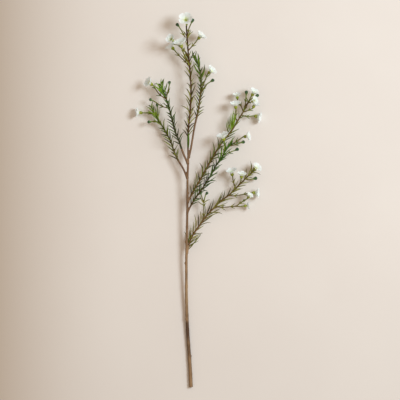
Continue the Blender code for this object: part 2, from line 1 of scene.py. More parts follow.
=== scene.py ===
# %% [markdown]
# A cut waxflower stem, laid on a pale surface and seen from straight above.
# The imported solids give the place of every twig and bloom. This lesson grows finer bark,
# needles, cups, buds and blossoms at those places, gives each a procedural material, and
# lights them as a studio flat lay.

# %% Load the fixed frame
import json
import math
import random

import bmesh
import bpy
import numpy as np
from mathutils import Matrix, Vector

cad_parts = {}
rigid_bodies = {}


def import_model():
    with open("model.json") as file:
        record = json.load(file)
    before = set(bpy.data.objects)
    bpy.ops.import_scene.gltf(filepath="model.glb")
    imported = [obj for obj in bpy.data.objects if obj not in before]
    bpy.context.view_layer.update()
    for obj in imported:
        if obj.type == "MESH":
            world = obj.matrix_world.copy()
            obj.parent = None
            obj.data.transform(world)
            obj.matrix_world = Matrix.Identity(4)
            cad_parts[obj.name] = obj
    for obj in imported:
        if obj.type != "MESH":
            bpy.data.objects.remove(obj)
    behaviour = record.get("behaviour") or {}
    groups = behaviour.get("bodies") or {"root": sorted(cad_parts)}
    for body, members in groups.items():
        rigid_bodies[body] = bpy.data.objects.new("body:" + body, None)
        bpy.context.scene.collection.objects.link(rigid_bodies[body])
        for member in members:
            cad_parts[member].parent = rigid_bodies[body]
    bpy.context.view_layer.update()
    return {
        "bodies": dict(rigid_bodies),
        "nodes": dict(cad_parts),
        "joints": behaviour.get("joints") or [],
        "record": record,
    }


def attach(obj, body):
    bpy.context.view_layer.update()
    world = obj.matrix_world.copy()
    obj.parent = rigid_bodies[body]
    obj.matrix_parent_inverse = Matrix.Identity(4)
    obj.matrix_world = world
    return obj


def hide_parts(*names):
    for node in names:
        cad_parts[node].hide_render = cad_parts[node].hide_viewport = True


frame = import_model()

MM = 0.001

# %% [markdown]
# Every twig and stalk on the real stem is a gentle curve. A curve could be drawn by hand as a
# Bezier, but a few points traced off the plant and a smooth line through them are easier to
# check against a picture. The points are millimetres from the cut end: across, along and up.
# The origin is the middle of the flat strip of bark that the stem rests on.

# %% Routes of the stem and its shoots
REST_MIDDLE = (-1.4, 30, 0)

STEM_ROUTE = [
    (0, 0, 3.1), (-1.5, 32, 3.0), (-3.7, 66, 3.0), (-6.4, 107, 4.2), (-8.4, 163, 7.6),
    (-8.6, 200, 10), (-8.6, 237, 12.2), (-7.5, 294, 14.8), (-6.9, 331, 16.2), (-6.5, 387, 18.5),
    (-5.2, 424, 20), (-5.6, 452, 21), (-5, 481, 22), (-1.5, 518, 23), (0, 555, 24),
    (-2, 593, 25), (-5.6, 630, 26), (-8.2, 668, 27), (-8.8, 674, 27),
]
WOOD_LENGTH = 452
WOOD_RADII = (3.5, 2.5, 1.8)

# Millimetres. bare: brown wood at the foot; radii: of the twig's foot and tip; leaf: length of a
# needle; every: from one pair of needles to the next; leafless and thin_from: how far up the twig
# the needles start and thin out; axil: how many short leaves stand in the corner of a needle, one
# where it isn't given.
SHOOTS = {
    "centre": {
        "route": STEM_ROUTE, "bare": 452, "radii": (1.8, 1.4), "leaf": 22, "every": 7.6,
        "leafless": 14, "thin_from": 150, "axil": 0,
    },
    "upper_right": {
        "route": [(-4.7, 428, 20), (0, 447, 19), (5.6, 481, 17.5), (9.4, 499, 17), (13, 514, 17),
                  (16.8, 540, 17), (18.7, 565, 17), (16.8, 589, 17), (11.2, 608, 17),
                  (6, 618, 16.5)],
        "bare": 74, "radii": (1.9, 1.4), "leaf": 20, "every": 7.2, "leafless": 2,
    },
    "upper_left": {
        "route": [(-5.5, 417, 19.8), (-15, 438, 22), (-22.4, 460, 24), (-30, 479, 25),
                  (-35.5, 501, 25), (-41, 522, 24), (-46.8, 539, 22.5), (-52.4, 553, 21),
                  (-56, 563, 20)],
        "bare": 33, "radii": (1.9, 1.3), "leaf": 20, "every": 7.4, "leafless": 6,
    },
    "lower_left": {
        "route": [(-6.5, 390, 18.6), (-15, 409, 17), (-24.3, 424.5, 16), (-31.8, 441, 15),
                  (-37.4, 458, 14.3), (-45, 473, 13.6), (-52.4, 486, 13), (-61, 497.5, 12.7),
                  (-67.3, 510, 12.4), (-72.5, 521, 12.2)],
        "bare": 38, "radii": (1.8, 1.2), "leaf": 23, "every": 7.8, "leafless": 0,
    },
    "long_right": {
        "route": [(-6.5, 345, 16.8), (5.6, 368.5, 16), (16.8, 387, 15), (30, 411, 13.6),
                  (41, 430, 13), (52.4, 449, 13), (63.6, 464, 13.4), (75, 478, 14), (86, 495.5, 15),
                  (97.2, 514, 16.8), (104.7, 529, 18.3), (109, 536, 19)],
        "bare": 12, "radii": (1.8, 1.4), "leaf": 24, "every": 7.4,
        "leafless": 2, "thin_from": 140, "axil": 2,
    },
    "mid_right": {
        "route": [(-6.9, 327, 16.2), (5.6, 349.5, 20.5), (16.8, 365, 24), (28, 381.5, 26.5),
                  (39.3, 400, 28.3), (48.6, 417, 29.4), (58, 430, 29.8), (65.5, 444, 30),
                  (77, 455.5, 30)],
        "bare": 12, "radii": (1.6, 1.2), "leaf": 22, "every": 7.0, "leafless": 1,
    },
    "lower_right": {
        "route": [(-8, 250, 12.8), (0, 278, 12.8), (15, 301, 12.6), (32, 323.5, 12.8),
                  (54.2, 346, 13.4), (73, 361, 14), (91.6, 379.5, 15), (114, 402, 15)],
        "bare": 16, "radii": (1.8, 1.3), "leaf": 30, "every": 9.0, "leafless": 0,
    },
}

# %% [markdown]
# The blooms and buds stand on thin stalks that leave the twigs. Each line says what the stalk
# ends in, its size against the usual one, the way it faces, and its route. New leaves crowd at
# the tips of the shoots, and a few stand lower down. Each of them has its own route too.

# %% Routes of the stalks and of the young leaves
STALKS = {
    "centre": [
        ("bloom", 1.25, (-0.1, 0.5, 0.86), [(-8.4, 668, 27), (-8.8, 681, 27.5)]),
        ("bloom", 0.95, (-0.45, 0.4, 0.8), [(-4.5, 618, 25.7), (-15, 630, 29), (-33, 645.5, 34)]),
        ("bloom", 1.15, (-0.65, 0.74, 0.15),
         [(-2.5, 598, 25), (-11.2, 608, 22), (-22, 619, 18), (-31, 629.5, 13)]),
        ("bloom", 1.3, (-0.3, 0.88, 0.36),
         [(-3.6, 607, 25.2), (-9.4, 614, 29), (-14, 623, 33), (-16.5, 632.5, 35)]),
        ("bloom", 1.05, (0.65, 0.7, 0.3),
         [(-5.5, 628, 26), (0, 634, 25), (7, 642, 23), (12.2, 649, 22)]),
        ("bud", 1.0, (-0.6, 0.75, 0.1),
         [(-7.8, 647, 26.6), (-11.2, 653, 26.5), (-16.8, 664, 26), (-22, 672.5, 25)]),
        ("bud", 1.1, (0.4, 0.9, 0.1),
         [(-7.9, 652, 26.7), (-5.5, 660, 28), (-3.7, 669.5, 30), (0.4, 679, 31)]),
    ],
    "upper_right": [
        ("bloom", 1.05, (0.7, 0.6, 0.4),
         [(17.8, 552, 17), (20.6, 559, 17.5), (23.5, 566, 18), (31, 585, 18)]),
        ("bud", 1.0, (0.85, 0.5, 0.2),
         [(17.6, 546, 17), (22.4, 556, 20), (29, 565, 23), (36, 570, 25)]),
    ],
    "upper_left": [
        ("bloom", 1.1, (-0.75, 0.45, 0.48),
         [(-46.5, 538, 22.6), (-58, 546, 20), (-65.5, 555.5, 18), (-70.5, 563.5, 17)]),
        ("bud", 0.9, (0.1, 0.99, 0.05),
         [(-46, 536, 22.7), (-44.3, 548, 25), (-41.5, 558, 26), (-40.5, 564, 26)]),
        ("bud", 0.9, (-0.9, 0.4, -0.1),
         [(-41, 521, 24), (-54.2, 524.5, 22), (-67.3, 533, 19), (-71, 535, 18)]),
    ],
    "lower_left": [
        ("bloom", 0.95, (-0.99, 0.05, 0.1),
         [(-65, 506, 12.5), (-72.9, 510.5, 12), (-81, 512, 10.5), (-89.5, 512.6, 8.3)]),
        ("bud", 0.85, (0, 0.99, 0.05), [(-58, 493.5, 12.8), (-62.6, 508, 12.4), (-63, 523, 12)]),
        ("bud", 0.95, (-0.95, -0.1, 0.2),
         [(-55.5, 490, 13), (-65, 495.5, 14), (-71, 496.5, 15), (-73.5, 496, 15.5)]),
    ],
    "long_right": [
        ("bloom", 1.0, (0.5, 0.78, 0.38),
         [(107.5, 533.5, 18.8), (110, 538, 19.4), (112.5, 543, 20)]),
        ("bloom", 1.05, (-0.1, 0.93, 0.35),
         [(86.5, 496.5, 15), (83.2, 503, 18), (83.5, 511, 21), (83.8, 518.5, 22.5)]),
        ("bloom", 0.8, (-0.15, 0.93, 0.33),
         [(97.5, 515, 17), (94, 524, 15.5), (90, 531, 14), (87, 537, 13)]),
        ("bloom", 0.75, (0.7, 0.35, 0.62), [(104, 528, 18.3), (108, 531, 27), (112, 532, 34)]),
        ("bloom", 0.85, (0.45, 0.85, 0.28),
         [(97, 514, 16.5), (103, 515.5, 16.5), (110, 518.5, 17), (115, 520.5, 17.5)]),
        ("bloom", 1.0, (0.96, -0.2, 0.2),
         [(94, 508.5, 16), (101, 506, 13), (110, 506, 10), (117, 507, 7.3)]),
        ("bud", 1.0, (0.1, 0.97, 0.2),
         [(100.5, 521.5, 17.6), (101.9, 531, 20), (102.5, 540, 22), (102.8, 545.5, 23)]),
        ("bud", 0.95, (0.85, 0.45, -0.1),
         [(107, 533, 18.7), (114, 539, 16.5), (119.5, 542.5, 14)]),
    ],
    "mid_right": [
        ("bloom", 1.25, (-0.28, 0.9, 0.33),
         [(63.5, 440.5, 30), (63, 448, 31), (62.8, 454, 31.5), (62.3, 458.5, 31.5)]),
        ("bloom", 0.9, (0.92, 0.15, 0.35),
         [(73, 451.5, 30), (84.2, 458.2, 29.5), (91, 463, 28), (97, 467.3, 27)]),
        ("bud", 1.0, (0.95, 0.25, -0.1),
         [(72, 450.5, 30), (80, 452, 29), (87, 454, 27.5), (92.5, 456.4, 25)]),
        ("bud", 1.0, (0.9, 0.4, 0),
         [(59.5, 432.5, 29.8), (67.3, 436, 30), (76, 440, 29), (81.5, 441.9, 28)]),
    ],
    "lower_right": [
        ("bloom", 1.05, (-0.2, 0.9, 0.36),
         [(83.5, 371.5, 14.6), (80.4, 378, 15.5), (78.5, 387, 15.5), (77.7, 393.5, 15.5)]),
        ("bloom", 0.85, (0.15, 0.88, 0.45),
         [(90, 378, 15), (92, 382, 19), (93, 386, 24), (93.3, 389, 26)]),
        ("bloom", 1.0, (0.6, 0.6, 0.52), [(112, 400, 15), (116.4, 404.2, 15.4)]),
        ("bloom", 0.95, (0.97, -0.02, 0.25),
         [(69.5, 358.3, 14), (80, 357.5, 13), (91.6, 359, 12),
          (104, 361.6, 11.3), (113, 363.2, 11)]),
        ("bloom", 0.7, (0.55, 0.65, 0.5),
         [(45, 337, 13.2), (60, 336, 14), (76.7, 337.5, 15),
          (84.2, 338.5, 16), (92, 344, 17), (104.5, 352, 18.5)]),
        ("bloom", 0.65, (0.95, 0.12, -0.05),
         [(83, 338.3, 15.9), (90, 337.5, 13.5), (97.5, 338.3, 11)]),
        ("bud", 0.7, (0.7, 0.5, -0.3), [(90, 343, 16.8), (94, 345.5, 15), (96.5, 346.8, 14)]),
        ("bud", 1.05, (0.97, 0.2, -0.05), [(101, 389, 15), (108, 387.5, 12), (115, 389, 10)]),
        ("bud", 0.85, (0.6, 0.75, 0.1),
         [(21, 309, 12.7), (23.6, 325, 15), (24.3, 346, 18), (27, 359, 18)]),
        ("bud", 0.75, (-0.2, 0.97, -0.1), [(24.3, 345, 17.8), (21, 353, 16.5), (19, 359, 16)]),
    ],
}

# Width in millimetres, how fresh (over 1 is lime), and the route from inside the twig.
YOUNG_LEAVES = {
    "centre": [
        (2.6, 1.5, [(-3.6, 606, 25.2), (-12, 620, 27), (-19, 632, 27)]),
        (2.4, 1.2, [(-3.2, 603, 25.2), (-13, 615, 24), (-21, 624, 22)]),
        (3.0, 0.3, [(-4.2, 611, 25.4), (-10, 624, 25), (-15.5, 635, 26)]),
        (1.9, 0.0, [(-3.4, 606, 25.2), (2, 618, 28), (10, 629, 30)]),
        (2.2, 0.7, [(-6.6, 650, 26.8), (-3.5, 659, 29), (0.5, 667, 31)]),
    ],
    "upper_right": [
        (4.8, 0.35, [(-5.4, 446, 22), (-5, 459, 24.2), (-4.4, 477, 25)]),
        (3.6, 0.9, [(18.4, 575, 17), (24, 590, 20), (25.5, 603, 22)]),
        (3.4, 0.7, [(17.5, 583, 17), (9, 594, 20), (4, 606, 22)]),
        (4.2, 0.8, [(14, 600, 17), (14.5, 612, 19), (12.5, 624, 18)]),
        (3.6, 1.1, [(8, 612, 17), (4, 620, 16.5), (2.5, 629, 15)]),
    ],
    "upper_left": [
        (3.8, 1.85, [(-50, 545, 22.6), (-60, 556, 27), (-69, 563, 29)]),
        (3.4, 1.85, [(-52, 551, 21.2), (-58.5, 561, 22), (-65, 569, 21.5)]),
        (3.0, 1.25, [(-53, 555, 20.8), (-52.5, 566, 23), (-50, 577, 24)]),
        (2.8, 1.25, [(-47.5, 541, 22.4), (-57, 554, 26), (-61, 565, 28)]),
        (2.7, 1.2, [(-50.5, 549, 21.6), (-46.5, 560, 25), (-43.5, 571, 27)]),
        (2.4, 1.0, [(-48.5, 543, 22.3), (-42.5, 551, 25), (-38.5, 560, 27)]),
        (2.6, 1.5, [(-54, 557, 20.6), (-56, 567, 24), (-55.5, 577, 26)]),
    ],
    "lower_left": [
        (2.8, 1.3, [(-65, 506, 12.5), (-70, 515, 15), (-74.5, 523, 16)]),
        (2.6, 1.7, [(-64.5, 505, 12.5), (-71, 511, 16), (-79, 516, 17)]),
        (2.8, 1.0, [(-64, 505, 12.5), (-66, 516, 15), (-68.5, 525, 15)]),
        (2.4, 1.4, [(-66.5, 508.5, 12.4), (-75, 513, 16), (-84, 513.5, 17)]),
        (2.3, 1.1, [(-63, 501, 12.6), (-60, 511, 16), (-60, 521, 17)]),
    ],
    "long_right": [
        (2.6, 1.2, [(75, 478, 14), (71, 492, 17.5), (71.5, 507, 19)]),
        (2.8, 1.8, [(77, 482, 14.3), (77, 501, 18), (80, 519, 19)]),
        (2.7, 1.6, [(79, 486, 14.3), (83, 505, 20), (85, 518, 22)]),
        (2.6, 1.5, [(76, 480, 14.3), (74, 497, 22), (75, 513, 25)]),
        (2.5, 1.85, [(78, 484, 14.3), (80, 500, 23), (82, 515, 27)]),
        (1.8, 0.4, [(72, 474, 13.7), (67, 485, 18), (65.5, 497, 20)]),
        (1.8, 0.5, [(73.5, 476, 13.8), (69, 489, 20), (68.5, 502, 23)]),
    ],
    "mid_right": [
        (2.6, 1.3, [(68, 447, 30), (76, 461, 32), (83, 469, 31)]),
        (2.0, 1.0, [(58, 430, 29.8), (56.5, 442, 32), (58, 453, 33)]),
        (2.1, 0.8, [(62, 437, 30), (68, 449, 33), (72, 460, 34)]),
        (2.0, 1.2, [(60, 433, 30), (69, 441, 32), (78, 447, 32)]),
        (1.9, 0.7, [(55, 426, 29.6), (64, 432, 32), (72, 435, 33)]),
        (2.0, 1.1, [(53, 423, 29.5), (50.5, 434, 32), (51, 446, 33)]),
        (1.9, 0.6, [(50, 419, 29.4), (59, 425, 32), (67, 428, 33)]),
        (2.2, 1.8, [(60, 434, 29.8), (62, 446, 33), (66, 456, 34)]),
        (2.0, 1.6, [(57, 429, 29.8), (57, 441, 33), (60, 451, 35)]),
    ],
    "lower_right": [
        (1.9, 0.35, [(-6, 256, 12.8), (3, 266, 15), (13, 281, 16)]),
        (1.9, 0.5, [(-4.5, 261, 12.8), (8, 272, 15), (21, 290, 16)]),
        (1.8, 0.3, [(-4, 264, 12.8), (5, 269, 16), (15, 274, 16)]),
        (1.8, 0.25, [(-3, 268, 12.8), (9, 277, 16), (19, 284, 17)]),
        (1.8, 0.4, [(-4.5, 265, 12.8), (-3.5, 280, 15), (1.5, 298, 17)]),
        (1.7, 0.3, [(-2, 272, 12.8), (-2.5, 288, 16), (1, 303, 18)]),
        (1.9, 1.0, [(24.2, 344, 17.8), (30, 349, 20), (36, 350.5, 20)]),
        (1.9, 1.0, [(24.2, 343, 17.8), (19, 351, 20), (16, 358, 20.5)]),
        (1.9, 1.0, [(24.2, 340, 17.5), (18, 343, 16), (12, 348, 15)]),
    ],
}
for title, rows in (("stalks", STALKS), ("young leaves", YOUNG_LEAVES)):
    print(title, sum(len(found) for found in rows.values()))

# %% [markdown]
# The camera looks straight down, as the flat lay was taken. A long lens from far away keeps the
# raised twigs where a straight-down tracing puts them: a near one would spread them outwards.

# %% The camera
SPAN = 0.748  # metres of surface that the square picture shows
SENSOR = 36  # millimetres
camera_height = 8.0
camera_data = bpy.data.cameras.new("flat_lay_camera")
camera_data.sensor_width, camera_data.lens = SENSOR, SENSOR * camera_height / SPAN
camera_data.clip_start, camera_data.clip_end = 0.1, 60
camera = bpy.data.objects.new("flat_lay_camera", camera_data)
camera.location = (0.0182, 0.3197, camera_height)
bpy.context.scene.collection.objects.link(camera)
bpy.context.scene.camera = camera
print("camera over", tuple(camera.location), "lens", round(camera_data.lens))

# %% [markdown]
# One soft window light stands far to the upper right, so that each shoot throws a blurred shadow
# down to the left. A warm room fills the shadows. The lamp is hidden from the camera itself,
# so that a view from the side that looks past it doesn't show it.

# %% The light
LAMP_PLACE, LAMP_AIM = Vector((2.22, 1.3, 2.7)), Vector((0.02, 0.32, 0))
lamp_data = bpy.data.lights.new("window_lamp", "AREA")
lamp_data.shape, lamp_data.size = "DISK", 1.5
lamp_data.energy = 90
lamp_data.color = (0.853, 0.943, 1.0)
lamp = bpy.data.objects.new("window_lamp", lamp_data)
lamp.location = LAMP_PLACE
lamp.rotation_euler = (LAMP_AIM - LAMP_PLACE).to_track_quat("-Z", "Y").to_euler()
lamp.visible_camera = False
bpy.context.scene.collection.objects.link(lamp)
world = bpy.data.worlds.new("pale_sky")
world.use_nodes = True
sky = world.node_tree.nodes["Background"].inputs
sky["Color"].default_value, sky["Strength"].default_value = (1.0, 0.79, 0.605, 1), 0.525
bpy.context.scene.world = world
bpy.context.scene.view_settings.view_transform = "Standard"
print("lamp", [round(side, 2) for side in LAMP_PLACE], "world", world.name)

# %% [markdown]
# Each node of a material takes a few lines of Python, and the same few come up again and again.
# Small helpers add them: a socket that takes a value or a link, a sum, a range, the three
# coordinates of the object, and a number stored on the points of a mesh.

# %% Helpers for node trees
def feed(tree, value, socket):
    """A number or a colour is set on the socket, and another node's output is linked to it."""
    if isinstance(value, bpy.types.NodeSocket):
        tree.links.new(value, socket)
    else:
        socket.default_value = (*value, 1) if isinstance(value, tuple) else value


def worked_out(tree, operation, first, second, clamp=False):
    node = tree.nodes.new("ShaderNodeMath")
    node.operation, node.use_clamp = operation, clamp
    feed(tree, first, node.inputs[0])
    feed(tree, second, node.inputs[1])
    return node.outputs[0]


def range_of(tree, value, start, end):
    """0 where the value is `start`, and 1 where it is `end`."""
    node = tree.nodes.new("ShaderNodeMapRange")
    node.inputs["From Min"].default_value, node.inputs["From Max"].default_value = start, end
    feed(tree, value, node.inputs["Value"])
    return node.outputs["Result"]


def axes_of(tree):
    place, apart = tree.nodes.new("ShaderNodeTexCoord"), tree.nodes.new("ShaderNodeSeparateXYZ")
    tree.links.new(place.outputs["Object"], apart.inputs[0])
    return apart.outputs


def stored(tree, name):
    node = tree.nodes.new("ShaderNodeAttribute")
    node.attribute_name = name
    return node.outputs["Fac"]


# %% [markdown]
# Many finishes on this plant share one effect: uneven tone from patches and fine grain. It is a
# shader node group, built once, with the size of its patches as an input. It puts out a mask for
# colour and a height for bumps, and each material places its own copy. A second group tells how
# far a point is from the foot of its leaf or stalk.

# %% Shared shader groups
def new_group(name, inputs, outputs):
    group = bpy.data.node_groups.new(name, "ShaderNodeTree")
    for title, value in inputs:
        socket = group.interface.new_socket(title, in_out="INPUT", socket_type="NodeSocketFloat")
        socket.default_value = value
    for title in outputs:
        group.interface.new_socket(title, in_out="OUTPUT", socket_type="NodeSocketFloat")
    given, out = group.nodes.new("NodeGroupInput"), group.nodes.new("NodeGroupOutput")
    return group, given.outputs, out.inputs


def mottling_group():
    """Patches and fine grain over Object coordinates, stretched along the stem by Stretch."""
    inputs = [("Patch Scale", 60), ("Grain Scale", 900), ("Stretch", 1)]
    group, given, out = new_group("mottling", inputs, ["Patch", "Grain", "Height"])
    axes, joined = axes_of(group), group.nodes.new("ShaderNodeCombineXYZ")
    feed(group, axes["X"], joined.inputs["X"])
    feed(group, worked_out(group, "DIVIDE", axes["Y"], given["Stretch"]), joined.inputs["Y"])
    feed(group, axes["Z"], joined.inputs["Z"])
    noises = []
    for scale, detail in (("Patch Scale", 3), ("Grain Scale", 5)):
        noise = group.nodes.new("ShaderNodeTexNoise")
        noise.inputs["Detail"].default_value = detail
        feed(group, joined.outputs[0], noise.inputs["Vector"])
        feed(group, given[scale], noise.inputs["Scale"])
        noises.append(noise.outputs["Fac"])
    patch, grain = noises
    feed(group, range_of(group, patch, 0.33, 0.67), out["Patch"])
    feed(group, grain, out["Grain"])
    feed(group, worked_out(group, "ADD", patch, grain), out["Height"])
    return group


def growth_group():
    """How far a point is from its foot, from 0 to 1, shifted by each leaf's own chance."""
    group, given, out = new_group("growth", [("Uneven", 0.25)], ["Chance", "Mixed"])
    chance = stored(group, "chance")
    centred = worked_out(group, "SUBTRACT", chance, 0.5)
    shift = worked_out(group, "MULTIPLY", centred, given["Uneven"])
    feed(group, chance, out["Chance"])
    feed(group, worked_out(group, "ADD", stored(group, "along"), shift, clamp=True), out["Mixed"])
    return group


mottling, growth = mottling_group(), growth_group()
print("groups", mottling.name, growth.name)

# %% [markdown]
# A finish here is always a ramp of colours, a little mottling over it, and a fine bump. Helpers
# add those too, and each material below keeps its own shader, colours and values.

# %% Helpers for materials
def blank_material(name, roughness, subsurface=0.0, coat=0.0, gloss=0.25):
    material = bpy.data.materials.new(name)
    material.use_nodes = True
    shader = material.node_tree.nodes["Principled BSDF"]
    for title, value in (
        ("Roughness", roughness), ("Specular IOR Level", gloss),
        ("Subsurface Weight", subsurface), ("Subsurface Radius", (0.6, 0.8, 0.4)),
        ("Subsurface Scale", 0.0012), ("Coat Weight", coat), ("Coat Roughness", 0.35),
    ):
        shader.inputs[title].default_value = value
    return material, material.node_tree, shader


def placed_group(tree, group, **values):
    node = tree.nodes.new("ShaderNodeGroup")
    node.node_tree = group
    for title, value in values.items():
        node.inputs[title.replace("_", " ")].default_value = value
    return node.outputs


def ramp_of(tree, factor, stops):
    ramp = tree.nodes.new("ShaderNodeValToRGB")
    band = ramp.color_ramp
    while len(band.elements) < len(stops):
        band.elements.new(0.5)
    for element, (place, colour) in zip(band.elements, stops):
        element.position, element.color = place, (*colour, 1)
    feed(tree, factor, ramp.inputs["Fac"])
    return ramp.outputs["Color"]


def mask_of(tree, factor, stops):
    """A ramp of greys, for where another tone shows."""
    return ramp_of(tree, factor, [(place, (grey, grey, grey)) for place, grey in stops])


def tinted(tree, factor, under, over, most=1.0):
    mix = tree.nodes.new("ShaderNodeMix")
    mix.data_type = "RGBA"
    feed(tree, worked_out(tree, "MULTIPLY", factor, most), mix.inputs["Factor"])
    feed(tree, under, mix.inputs[6])
    feed(tree, over, mix.inputs[7])
    return mix.outputs[2]


# Painted shade: a mask that darkens a surface towards its edges, where it turns away from the view.
def painted_edge_shade_of(tree):
    painted_edge_shade = tree.nodes.new("ShaderNodeLayerWeight")
    painted_edge_shade.inputs["Blend"].default_value = 0.42
    return painted_edge_shade.outputs["Facing"]


def finished(tree, shader, colour, height=None, strength=0.0, distance=0.0):
    """Gives the shader its colour and, where there is a height, its bump."""
    feed(tree, colour, shader.inputs["Base Color"])
    if height is not None:
        bump = tree.nodes.new("ShaderNodeBump")
        bump.inputs["Strength"].default_value = strength
        bump.inputs["Distance"].default_value = distance
        feed(tree, height, bump.inputs["Height"])
        feed(tree, bump.outputs["Normal"], shader.inputs["Normal"])


# %% [markdown]
# The surface is a pale warm plaster. It is only a stage, so one large square with a soft cloudy
# tone and a very low grain is enough. Its left edge and its near side get less of the window's
# light, and slow changes of tone stand for that.

# %% The surface
def plaster():
    material, tree, shader = blank_material("pale_plaster", 0.85)
    cloud = placed_group(tree, mottling, Patch_Scale=5, Grain_Scale=160)
    axes = axes_of(tree)
    colour = tinted(tree, cloud["Patch"], (0.82, 0.785, 0.755), (0.84, 0.81, 0.78))
    near = range_of(tree, axes["Y"], 0.26, -0.06)
    dimmed = tinted(tree, near, colour, (0.70, 0.675, 0.655), most=0.33)
    dusk = worked_out(tree, "POWER", range_of(tree, axes["X"], -0.11, -0.36), 1.9)
    shaded = tinted(tree, dusk, dimmed, (0.56, 0.49, 0.42))
    finished(tree, shader, shaded, cloud["Grain"], 0.1, 0.0006)
    return material


surface = bmesh.new()
bmesh.ops.create_grid(surface, x_segments=1, y_segments=1, size=20)
bmesh.ops.translate(surface, verts=surface.verts, vec=(0, 0, -0.0001))
surface_mesh = bpy.data.meshes.new("surface")
surface.to_mesh(surface_mesh)
surface.free()
surface_mesh.materials.append(plaster())
surface_object = bpy.data.objects.new("surface", surface_mesh)
bpy.context.scene.collection.objects.link(surface_object)
print("surface", tuple(round(side) for side in surface_object.dimensions))

# %% [markdown]
# The bark is tan and dry near the cut, has dark worn patches a little higher, and turns reddish
# brown towards the forks. Real bark has long fine ridges, so the mottling is stretched along the
# stem, and its height drives the bump.

# %% Bark
def bark():
    material, tree, shader = blank_material("bark", 0.78)
    ridges = placed_group(tree, mottling, Patch_Scale=210, Grain_Scale=1300, Stretch=7)
    blotches = placed_group(tree, mottling, Patch_Scale=150, Grain_Scale=500, Stretch=2.2)
    along = range_of(tree, axes_of(tree)["Y"], -0.03, 0.47)
    base = ramp_of(tree, along, [
        (0.0, (0.30, 0.18, 0.09)), (0.12, (0.20, 0.12, 0.06)), (0.24, (0.22, 0.13, 0.07)),
        (0.33, (0.42, 0.28, 0.14)), (0.5, (0.34, 0.21, 0.11)), (0.66, (0.17, 0.09, 0.045)),
        (1.0, (0.14, 0.065, 0.035)),
    ])
    worn_off = mask_of(tree, along, [
        (0.10, 0), (0.13, 0.5), (0.165, 0.2), (0.195, 0.9), (0.24, 0.8), (0.252, 0),
    ])
    colour = tinted(tree, ridges["Patch"], base, (0.06, 0.03, 0.015), most=0.6)
    colour = tinted(tree, blotches["Patch"], colour, (0.50, 0.34, 0.20), most=0.3)
    colour = tinted(tree, ridges["Grain"], colour, (0.52, 0.36, 0.21), most=0.2)
    colour = tinted(tree, worn_off, colour, (0.05, 0.02, 0.014), most=0.85)
    # Painted shade along the stem's edges.
    colour = tinted(tree, painted_edge_shade_of(tree), colour, (0.04, 0.02, 0.012), most=0.7)
    finished(tree, shader, colour, ridges["Height"], 0.7, 0.0005)
    return material


finishes = {"bark": bark()}
print("finishes", list(finishes))

# %% [markdown]
# Twigs, stalks, cups, buds, hearts and stamens all change their tone from foot to tip, with
# patches of a second tone and a fine relief. One function makes all six, and each has its own
# colours, scale and gloss. The twigs darken at their edges, which is painted shade.

# %% Twig, stalk, cup, bud, heart and stamen finishes
def grown_finish(
    name, roughness, stops, patches, most, uneven, scales, stretch=1, relief=(), painted_edge_shade=None, **shine
):
    material, tree, shader = blank_material(name, roughness, **shine)
    grown = placed_group(tree, growth, Uneven=uneven)
    flecks = placed_group(
        tree, mottling, Patch_Scale=scales[0], Grain_Scale=scales[1], Stretch=stretch
    )
    colour = tinted(tree, flecks["Patch"], ramp_of(tree, grown["Mixed"], stops), patches, most)
    # Painted shade along the twig's edges.
    if painted_edge_shade:
        colour = tinted(tree, painted_edge_shade_of(tree), colour, painted_edge_shade, most=0.5)
    finished(tree, shader, colour, flecks["Height"] if relief else None, *relief)
    return material


finishes["stalk"] = grown_finish(
    "stalk_lime", 0.5, [(0.0, (0.15, 0.085, 0.025)), (0.5, (0.17, 0.14, 0.03)),
                        (1.0, (0.20, 0.26, 0.035))],
    (0.055, 0.06, 0.01), 0.4, 0.4, (300, 2000), 4, (0.4, 0.0003), subsurface=0.05, gloss=0.1,
)
finishes["cup"] = grown_finish(
    "cup_green", 0.38, [(0.0, (0.16, 0.18, 0.02)), (0.4, (0.26, 0.32, 0.025)),
                        (0.8, (0.42, 0.48, 0.05)), (1.0, (0.56, 0.60, 0.13))],
    (0.05, 0.09, 0.015), 0.4, 0.5, (420, 2600), relief=(0.4, 0.0002), subsurface=0.1,
)
finishes["bud"] = grown_finish(
    "bud_green", 0.3, [(0.0, (0.20, 0.26, 0.04)), (0.3, (0.10, 0.19, 0.04)),
                       (0.6, (0.035, 0.085, 0.024)), (0.9, (0.016, 0.048, 0.016)),
                       (1.0, (0.10, 0.18, 0.08))],
    (0.10, 0.19, 0.10), 0.3, 0.3, (500, 2600), relief=(0.3, 0.0002), subsurface=0.05, coat=0.15,
)
finishes["heart"] = grown_finish(
    "heart_green", 0.35, [(0.0, (0.26, 0.32, 0.03)), (0.5, (0.55, 0.60, 0.08)),
                          (1.0, (0.75, 0.74, 0.24))],
    (0.30, 0.33, 0.06), 0.4, 0.2, (900, 3200), relief=(0.4, 0.0002), subsurface=0.1,
)
finishes["stamen"] = grown_finish(
    "stamen_cream", 0.45, [(0.0, (0.78, 0.80, 0.66)), (0.7, (0.86, 0.84, 0.68)),
                           (1.0, (0.55, 0.42, 0.14))],
    (0.5, 0.45, 0.25), 0.25, 0.2, (1200, 3200), subsurface=0.1,
)
TWIG_TONES = {
    "centre": ((0.13, 0.06, 0.025), (0.12, 0.06, 0.025), (0.05, 0.025, 0.01)),
    "upper_right": ((0.22, 0.14, 0.055), (0.12, 0.11, 0.03), (0.04, 0.12, 0.012)),
    "upper_left": ((0.05, 0.06, 0.02), (0.04, 0.045, 0.012), (0.04, 0.13, 0.012)),
    "lower_left": ((0.13, 0.10, 0.03), (0.07, 0.075, 0.018), (0.05, 0.14, 0.015)),
    "long_right": ((0.18, 0.10, 0.03), (0.22, 0.14, 0.04), (0.16, 0.12, 0.025)),
    "mid_right": ((0.10, 0.055, 0.018), (0.04, 0.045, 0.012), (0.03, 0.08, 0.012)),
    "lower_right": ((0.20, 0.10, 0.035), (0.20, 0.12, 0.04), (0.09, 0.07, 0.018)),
}
